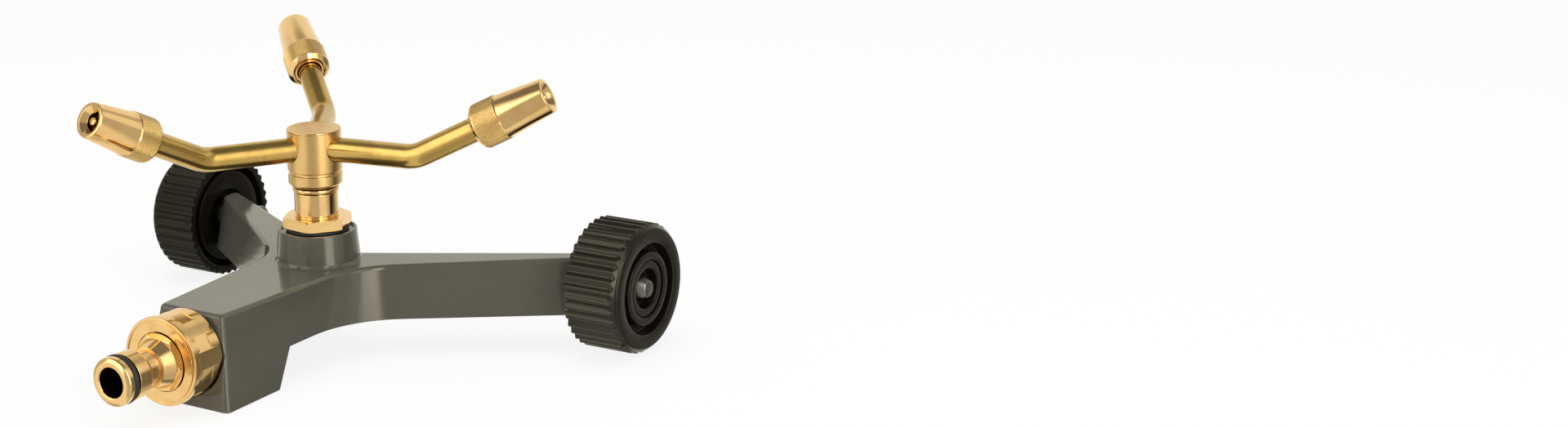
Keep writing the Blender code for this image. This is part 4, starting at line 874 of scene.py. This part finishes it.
def makeStem(size):
    groove = size["floor"] + size["land"]
    grooveEnd = groove + size["groove"]
    taper = grooveEnd + size["frontLand"]
    neck = taper + size["taper"]
    neckEnd = neck + size["neckLength"]
    pinEnd = nozzle["tip"] - size["pinSetback"]
    waterEnd = neckEnd - size["crossHole"]
    grooveRadius = size["body"] - size["grooveDepth"]
    return turned("stem", [
        (0, waterEnd), (size["waterBore"], waterEnd), (size["waterBore"], size["floor"]),
        (size["bore"], size["floor"]), (size["bore"], size["rear"], fine), (size["body"], size["rear"], fine),
        (size["body"], groove), (grooveRadius, groove), (grooveRadius, grooveEnd), (size["body"], grooveEnd),
        (size["body"], taper), (size["neckRadius"], neck), (size["neckRadius"], neckEnd),
        (size["pinRadius"], neckEnd + gap), (size["pinRadius"], pinEnd, size["pinRound"]), (0, pinEnd),
    ], 48)


knurlTree = makeKnurlTree(knurlSizes)
for number in (1, 2, 3):
    joint = joints[f"nozzle_{number}_twist"]
    body = f"nozzle_{number}"
    place = aimed(joint["pos_m"], joint["axis"])
    screwed = place @ Matrix.Translation((0, 0, nozzle["advances"][number - 1]))
    addPiece(f"nozzleSleeve{number}", makeSleeve(nozzle), polishedBrass, body, [body], screwed)
    knurl = grown(knurlTree, knurlSizes, knurlBrass)
    addPiece(f"nozzleKnurl{number}", knurl, knurlBrass, body, (), screwed)
    addPiece(f"nozzleStem{number}", makeStem(stem), brass, "rotor", [f"nozzle_stem_{number}"], place)
print("nozzles made")


# Wheels and axles

wheel = {
    "radius": 0.02225, "width": 0.0200, "standoff": 0.0008, "ribHeight": 0.0012, "shoulderLength": 0.0017,
    "shoulderDrop": 0.0011, "shoulderRound": 0.0010, "shoulderWidth": 0.0012, "shoulderStep": 0.00068,
    "rimThickness": 0.0030, "rimRound": 0.0009, "innerGrooveWidth": 0.0025, "innerGrooveDepth": 0.0090,
    "hubRecessRadius": 0.0100, "hubRecessDepth": 0.0060, "hubRadius": 0.0062, "hubSetback": 0.0006,
    "outerGrooveRadius": 0.0156, "outerGrooveWidth": 0.0030, "outerGrooveDepth": 0.0045,
    "grooveRound": 0.0005, "hubStepRadius": 0.0094, "hubStep": 0.0005, "hubLineWidth": 0.0006,
    "hubLineDepth": 0.0006, "wellRadius": 0.0069, "wellDepth": 0.0050, "bore": 0.0033,
}
ribSizes = {"Ribs": 38, "Valley radius": 0.02130, "Rib height": 0.00092, "Start": 0.00015, "Length": 0.0187}
ribs = {  # a face that turns less than this to the ends and to the tread is a wall between two ribs
    "endFacing": 0.5, "treadFacing": 0.4, "weld": 0.000002, "sharpAngle": 40,
}


def makeRibTree(sizes):  # rounded ribs along the tread, with rounded valleys between them
    tree, given = newTree("treadRibs", sizes)
    plus, times, over = arithmetic(tree)
    pitch = over(2 * pi, given["Ribs"])
    angle = times(plus(nodeOut(tree, "GeometryNodeInputIndex"), 0.5), pitch)
    middle = nodeOut(tree, "ShaderNodeCombineXYZ", {2: given["Start"]})
    points = nodeOut(tree, "GeometryNodePoints", {"Count": given["Ribs"], "Position": middle})
    size = nodeOut(tree, "ShaderNodeCombineXYZ", {0: pitch, 1: 1.0, 2: given["Length"]})
    block = nodeOut(tree, "GeometryNodeMeshCube", {"Size": size, "Vertices X": 13, "Vertices Y": 2,
                                                   "Vertices Z": 4})
    position = nodeOut(tree, "GeometryNodeInputPosition")
    across, upwards, lengthways = addNode(tree, "ShaderNodeSeparateXYZ", {0: position}).outputs
    wave = maths(tree, "COSINE", times(across, given["Ribs"]))
    crest = times(plus(times(wave, 0.5), 0.5), given["Rib height"])
    sunk = times(given["Rib height"], -0.5)  # the underside lies inside the wheel
    height = mixed(tree, maths(tree, "GREATER_THAN", upwards, 0.0), sunk, crest)
    outwards = plus(given["Valley radius"], height)
    lastRow = times(given["Length"], 0.49)  # just short of the block's outer end
    outerEnd = maths(tree, "GREATER_THAN", lengthways, lastRow)
    along = plus(lengthways, times(given["Length"], 0.5))
    sloped = maths(tree, "SUBTRACT", along, times(outerEnd, height))  # the outer ends lean back
    fromTop = maths(tree, "SUBTRACT", pi / 2, across)
    bent = aroundAxis(tree, outwards, fromTop, sloped)
    rib = nodeOut(tree, "GeometryNodeSetPosition", {"Geometry": block, "Position": bent})
    turn = nodeOut(tree, "ShaderNodeCombineXYZ", {2: angle})
    ring = nodeOut(tree, "GeometryNodeInstanceOnPoints", {"Points": points, "Instance": rib,
                                                          "Rotation": turn})
    endTree(tree, ring, given)
    return tree


def joinedRibs(mesh, size):  # ribs welded side by side, without the walls that face one another
    bm = bmesh.new()
    bm.from_mesh(mesh)
    bmesh.ops.remove_doubles(bm, verts=bm.verts[:], dist=size["weld"])
    walls = []
    for face in bm.faces:
        outward = (face.calc_center_median() * Vector((1, 1, 0))).normalized()
        if abs(face.normal.z) < size["endFacing"] and abs(face.normal.dot(outward)) < size["treadFacing"]:
            walls.append(face)
    bmesh.ops.delete(bm, geom=walls, context="FACES")
    return meshFrom(bm, "treadRibs", size["sharpAngle"])


def makeWheel(size):  # Z runs from the leg outwards
    front = size["width"]
    core = size["radius"] - size["ribHeight"]
    crest = size["radius"] - size["shoulderStep"]
    shoulderZ = front - size["shoulderLength"]
    ribEnd = shoulderZ - size["shoulderWidth"]
    rim = size["radius"] - size["rimThickness"]
    disc = rim - size["innerGrooveWidth"]
    wellZ = front - size["wellDepth"]
    hubFront = front - 2 * size["hubStep"]
    lineFloor = hubFront - size["hubLineDepth"]
    stepFront = hubFront + size["hubStep"]
    grooveFloor = front - size["outerGrooveDepth"]
    grooveOuter = size["outerGrooveRadius"]
    grooveInner = grooveOuter - size["outerGrooveWidth"]
    hubLine = size["hubStepRadius"] + size["hubLineWidth"]
    return turned("wheel", [
        (core, 0, soft), (rim, 0, soft), (rim, size["innerGrooveDepth"]), (disc, size["innerGrooveDepth"]),
        (disc, size["hubStep"], soft), (size["hubRecessRadius"], size["hubStep"], soft),
        (size["hubRecessRadius"], size["hubRecessDepth"]), (size["hubRadius"], size["hubRecessDepth"]),
        (size["hubRadius"], size["hubSetback"], fine), (size["bore"], size["hubSetback"]),
        (size["bore"], wellZ), (size["wellRadius"], wellZ, fine), (size["wellRadius"], hubFront, slight),
        (size["hubStepRadius"], hubFront, fine), (size["hubStepRadius"], lineFloor), (hubLine, lineFloor),
        (hubLine, stepFront, fine), (grooveInner, stepFront, soft),
        (grooveInner, grooveFloor, size["grooveRound"]), (grooveOuter, grooveFloor, size["grooveRound"]),
        (grooveOuter, front, soft), (crest - size["shoulderDrop"], front, size["rimRound"]),
        (crest, shoulderZ, size["shoulderRound"]), (crest, ribEnd, soft),
        (core, ribEnd - size["ribHeight"], slight),
    ], 152)


axle = {
    "depth": 0.0120, "footBevel": 0.0008, "footRound": 0.0005, "radius": 0.0030, "headRadius": 0.0048,
    "headRim": 0.0008, "headRound": 0.0009, "dome": 0.0038, "tipRadius": 0.0027, "tipRound": 0.0006,
}


def makeAxle(size):
    foot = -size["depth"] - size["footBevel"]
    headStart = wheel["width"] - wheel["wellDepth"] + gap
    domeStart = headStart + size["headRim"]
    tip = domeStart + size["dome"]
    return turned("axle", [
        (0, foot), (size["radius"], foot, size["footRound"]), (size["radius"], headStart),
        (size["headRadius"], headStart, slight), (size["headRadius"], domeStart, size["headRound"]),
        (size["tipRadius"], tip, size["tipRound"]), (0, tip)], 64)


ribTree = makeRibTree(ribSizes)
innerX = casting["legEndX"] + wheel["standoff"]
# the left wheel wears the duller copy of the plastic, as painted shade
for side, name, plastic, crests in ((1, "right", wheelPlastic, wornPlastic),
                                    (-1, "left", shadedWheelPlastic, shadedWheelPlastic)):
    centre = Vector(joints[f"wheel_{name}_spin"]["pos_m"])
    place = aimed((side * innerX, centre.y, centre.z), (side, 0, 0))
    label = name.capitalize()
    body = f"wheel_{name}"
    addPiece(f"wheel{label}", makeWheel(wheel), plastic, body, [body], place)
    tread = joinedRibs(grown(ribTree, ribSizes, crests), ribs)
    addPiece(f"treadRibs{label}", tread, crests, body, (), place)
    addPiece(f"axlePin{label}", makeAxle(axle), steel, "base", [f"axle_{name}"], place)
print("wheels made")


# CAD nodes that stay, with their finishes

kept = {"inlet_washer": rubber, "retaining_ring": steel, "bearing_bush": bearingPlastic,
        "upper_thrust_washer": bearingPlastic, "axle_washer_right": bearingPlastic,
        "axle_washer_left": bearingPlastic, "nozzle_oring_1": rubber, "nozzle_oring_2": rubber,
        "nozzle_oring_3": rubber}
for name, material in kept.items():
    node = frame["nodes"][name]
    if not node.material_slots:
        node.data.materials.append(material)
    for slot in node.material_slots:
        slot.material = material


# Floor, lights and camera

studio = {
    "floorColour": (0.90, 0.90, 0.89), "floorRoughness": 0.9, "floorSize": 6.0, "floorZ": -0.0002,
    "floorWhite": 0.86, "fill": 0.50, "tentMiddle": 0.63, "tentDark": 0.22, "tentBehind": 1.05,
    "tentTint": (1.0, 0.96, 0.83), "bandSoftness": 5, "behindBand": (180, 45), "darkBand": (98, 14),
    "darkRange": (0.1, 0.3), "brightRange": (-0.1, 0.22),
    "brightBands": ((-63, 31, 1.12, 2.5), (38, 19, 1.03, 2.2), (23, 5, 1.0, 7.0)),
    "lowBand": (32, 10), "lowTone": 5.0, "lowFoot": (-0.18, -0.12), "lowTop": (0.0, 0.08),
    "roofTone": 0.26, "roofRange": (0.66, 0.84),
    "sideBox": (0.9, 1.3), "sideAngle": 50.0, "sideDistance": 1.3, "sideHeight": 0.75,
    "sidePowers": (4.5, 6.0), "topBox": (1.0, 1.0), "topHeight": 1.3, "topPower": 8.0, "aimHeight": 0.04,
}
camera = {  # in degrees, metres and the photograph's pixels
    "azimuth": 37.08729, "elevation": 15.66842, "roll": -1.98602, "distance": 0.911272,
    "target": (0.0149925, 0.0153922, 0.0454566), "focalPixels": 3282.394, "imageSize": (1920, 524),
    "opticalCentre": (464.968, 258.994),
}


def makeCamera(shot):
    azimuth, elevation, roll = (radians(shot[turn]) for turn in ("azimuth", "elevation", "roll"))
    back = Vector((sin(azimuth) * cos(elevation), -cos(azimuth) * cos(elevation), sin(elevation)))
    target = Vector(shot["target"]) + Vector((0, rotorAxis.y, 0))
    right = (-back).cross(Vector((0, 0, 1))).normalized()
    up = right.cross(-back)
    axisX = right * cos(roll) + up * sin(roll)
    axisY = up * cos(roll) - right * sin(roll)
    turn = Matrix((axisX, axisY, back)).transposed().to_4x4()
    data = bpy.data.cameras.new("photoCamera")
    data.sensor_width = 36
    width, height = shot["imageSize"]
    data.lens = shot["focalPixels"] / width * data.sensor_width
    data.shift_x = 0.5 - shot["opticalCentre"][0] / width
    data.shift_y = (shot["opticalCentre"][1] - height / 2) / width
    data.clip_start = 0.01
    thing = linked("photoCamera", data)
    thing.matrix_world = Matrix.Translation(target + back * shot["distance"]) @ turn
    bpy.context.scene.camera = thing
    return azimuth


def addSoftbox(name, place, target, size, power):
    light = bpy.data.lights.new(name, "AREA")
    light.shape = "RECTANGLE"
    light.size, light.size_y = size
    light.energy = power
    thing = linked(name, light)
    thing.visible_glossy = False
    direction = Vector(target) - Vector(place)
    thing.matrix_world = Matrix.Translation(place) @ direction.to_track_quat("-Z", "Y").to_matrix().to_4x4()


def makeFloor(size):  # pale floor that stays white for the camera and keeps the shadow
    bm = bmesh.new()
    half = size["floorSize"] / 2
    corners = ((-half, -half), (half, -half), (half, half), (-half, half))
    bm.faces.new([bm.verts.new((x, y, size["floorZ"])) for x, y in corners])
    mesh = bpy.data.meshes.new("floor")
    bm.to_mesh(mesh)
    bm.free()
    material, tree, shader = newMaterial("paleFloor", size["floorColour"], size["floorRoughness"])
    rays = addNode(tree, "ShaderNodeLightPath").outputs
    white = nodeOut(tree, "ShaderNodeEmission", {"Color": (1, 1, 1, 1), "Strength": 1.0})
    share = maths(tree, "MULTIPLY", rays["Is Camera Ray"], size["floorWhite"])
    surface = nodeOut(tree, "ShaderNodeMixShader", {0: share, 1: shader.outputs[0], 2: white})
    tree.links.new(surface, tree.nodes["Material Output"].inputs["Surface"])
    mesh.materials.append(material)
    floor = linked("floor", mesh)
    floor.visible_glossy = False  # metal and enamel mirror the light tent down to the ground


def makeWorld(size, azimuth):  # light tent: bright and dark upright bands, as the metal mirrors them
    world = bpy.data.worlds.new("studio")
    bpy.context.scene.world = world
    world.use_nodes = True
    tree = world.node_tree
    tree.nodes.clear()
    rays = addNode(tree, "ShaderNodeLightPath").outputs
    look = addNode(tree, "ShaderNodeTexCoord").outputs["Generated"]
    height = addNode(tree, "ShaderNodeSeparateXYZ", {0: look}).outputs["Z"]
    level = nodeOut(tree, "ShaderNodeVectorMath", {0: look, 1: (1, 1, 0)}, operation="MULTIPLY")
    level = nodeOut(tree, "ShaderNodeVectorMath", {0: level}, operation="NORMALIZE")

    def toned(tone, band, value):  # value inside the band, the tone before it outside
        turn = azimuth + radians(band[0])
        facing = addNode(tree, "ShaderNodeVectorMath", {0: level, 1: (sin(turn), -cos(turn), 0)},
                         operation="DOT_PRODUCT").outputs["Value"]
        outer, inner = (cos(radians(band[1] + side * size["bandSoftness"])) for side in (1, -1))
        share = nodeOut(tree, "ShaderNodeMapRange", {"Value": facing, "From Min": outer, "From Max": inner},
                        interpolation_type="SMOOTHSTEP")
        return mixed(tree, share, tone, value)

    tone = toned(size["tentMiddle"], size["behindBand"], size["tentBehind"])
    for band in size["brightBands"]:  # each box is brighter above the horizon
        tone = toned(tone, band, spread(tree, height, band[2], band[3], *size["brightRange"]))
    lowBox = maths(tree, "MULTIPLY", spread(tree, height, 0, 1, *size["lowFoot"]),
                   spread(tree, height, 1, 0, *size["lowTop"]))
    tone = toned(tone, size["lowBand"], mixed(tree, lowBox, tone, size["lowTone"]))
    dark = spread(tree, height, size["tentDark"], size["tentBehind"], *size["darkRange"])
    tone = toned(tone, size["darkBand"], dark)
    tone = mixed(tree, spread(tree, height, 0, 1, *size["roofRange"]), tone, size["roofTone"])
    mirror = maths(tree, "MAXIMUM", rays["Is Glossy Ray"], rays["Is Transmission Ray"])
    strength = mixed(tree, rays["Is Camera Ray"], mixed(tree, mirror, size["fill"], tone), 1.0)
    tint = blended(tree, mirror, (1, 1, 1), size["tentTint"])
    sky = nodeOut(tree, "ShaderNodeBackground", {"Color": tint, "Strength": strength})
    addNode(tree, "ShaderNodeOutputWorld", {"Surface": sky})


cameraAzimuth = makeCamera(camera)
makeWorld(studio, cameraAzimuth)
makeFloor(studio)
middle = Vector((0, 0, studio["aimHeight"]))
for side, power in zip((-1, 1), studio["sidePowers"]):
    angle = cameraAzimuth + side * radians(studio["sideAngle"])
    place = Vector((sin(angle), -cos(angle), 0)) * studio["sideDistance"]
    place.z = studio["sideHeight"]
    addSoftbox("sideBox", place, middle, studio["sideBox"], power)
addSoftbox("topBox", (0, 0, studio["topHeight"]), middle, studio["topBox"], studio["topPower"])
bpy.context.scene.view_settings.view_transform = "Standard"
print("studio made")
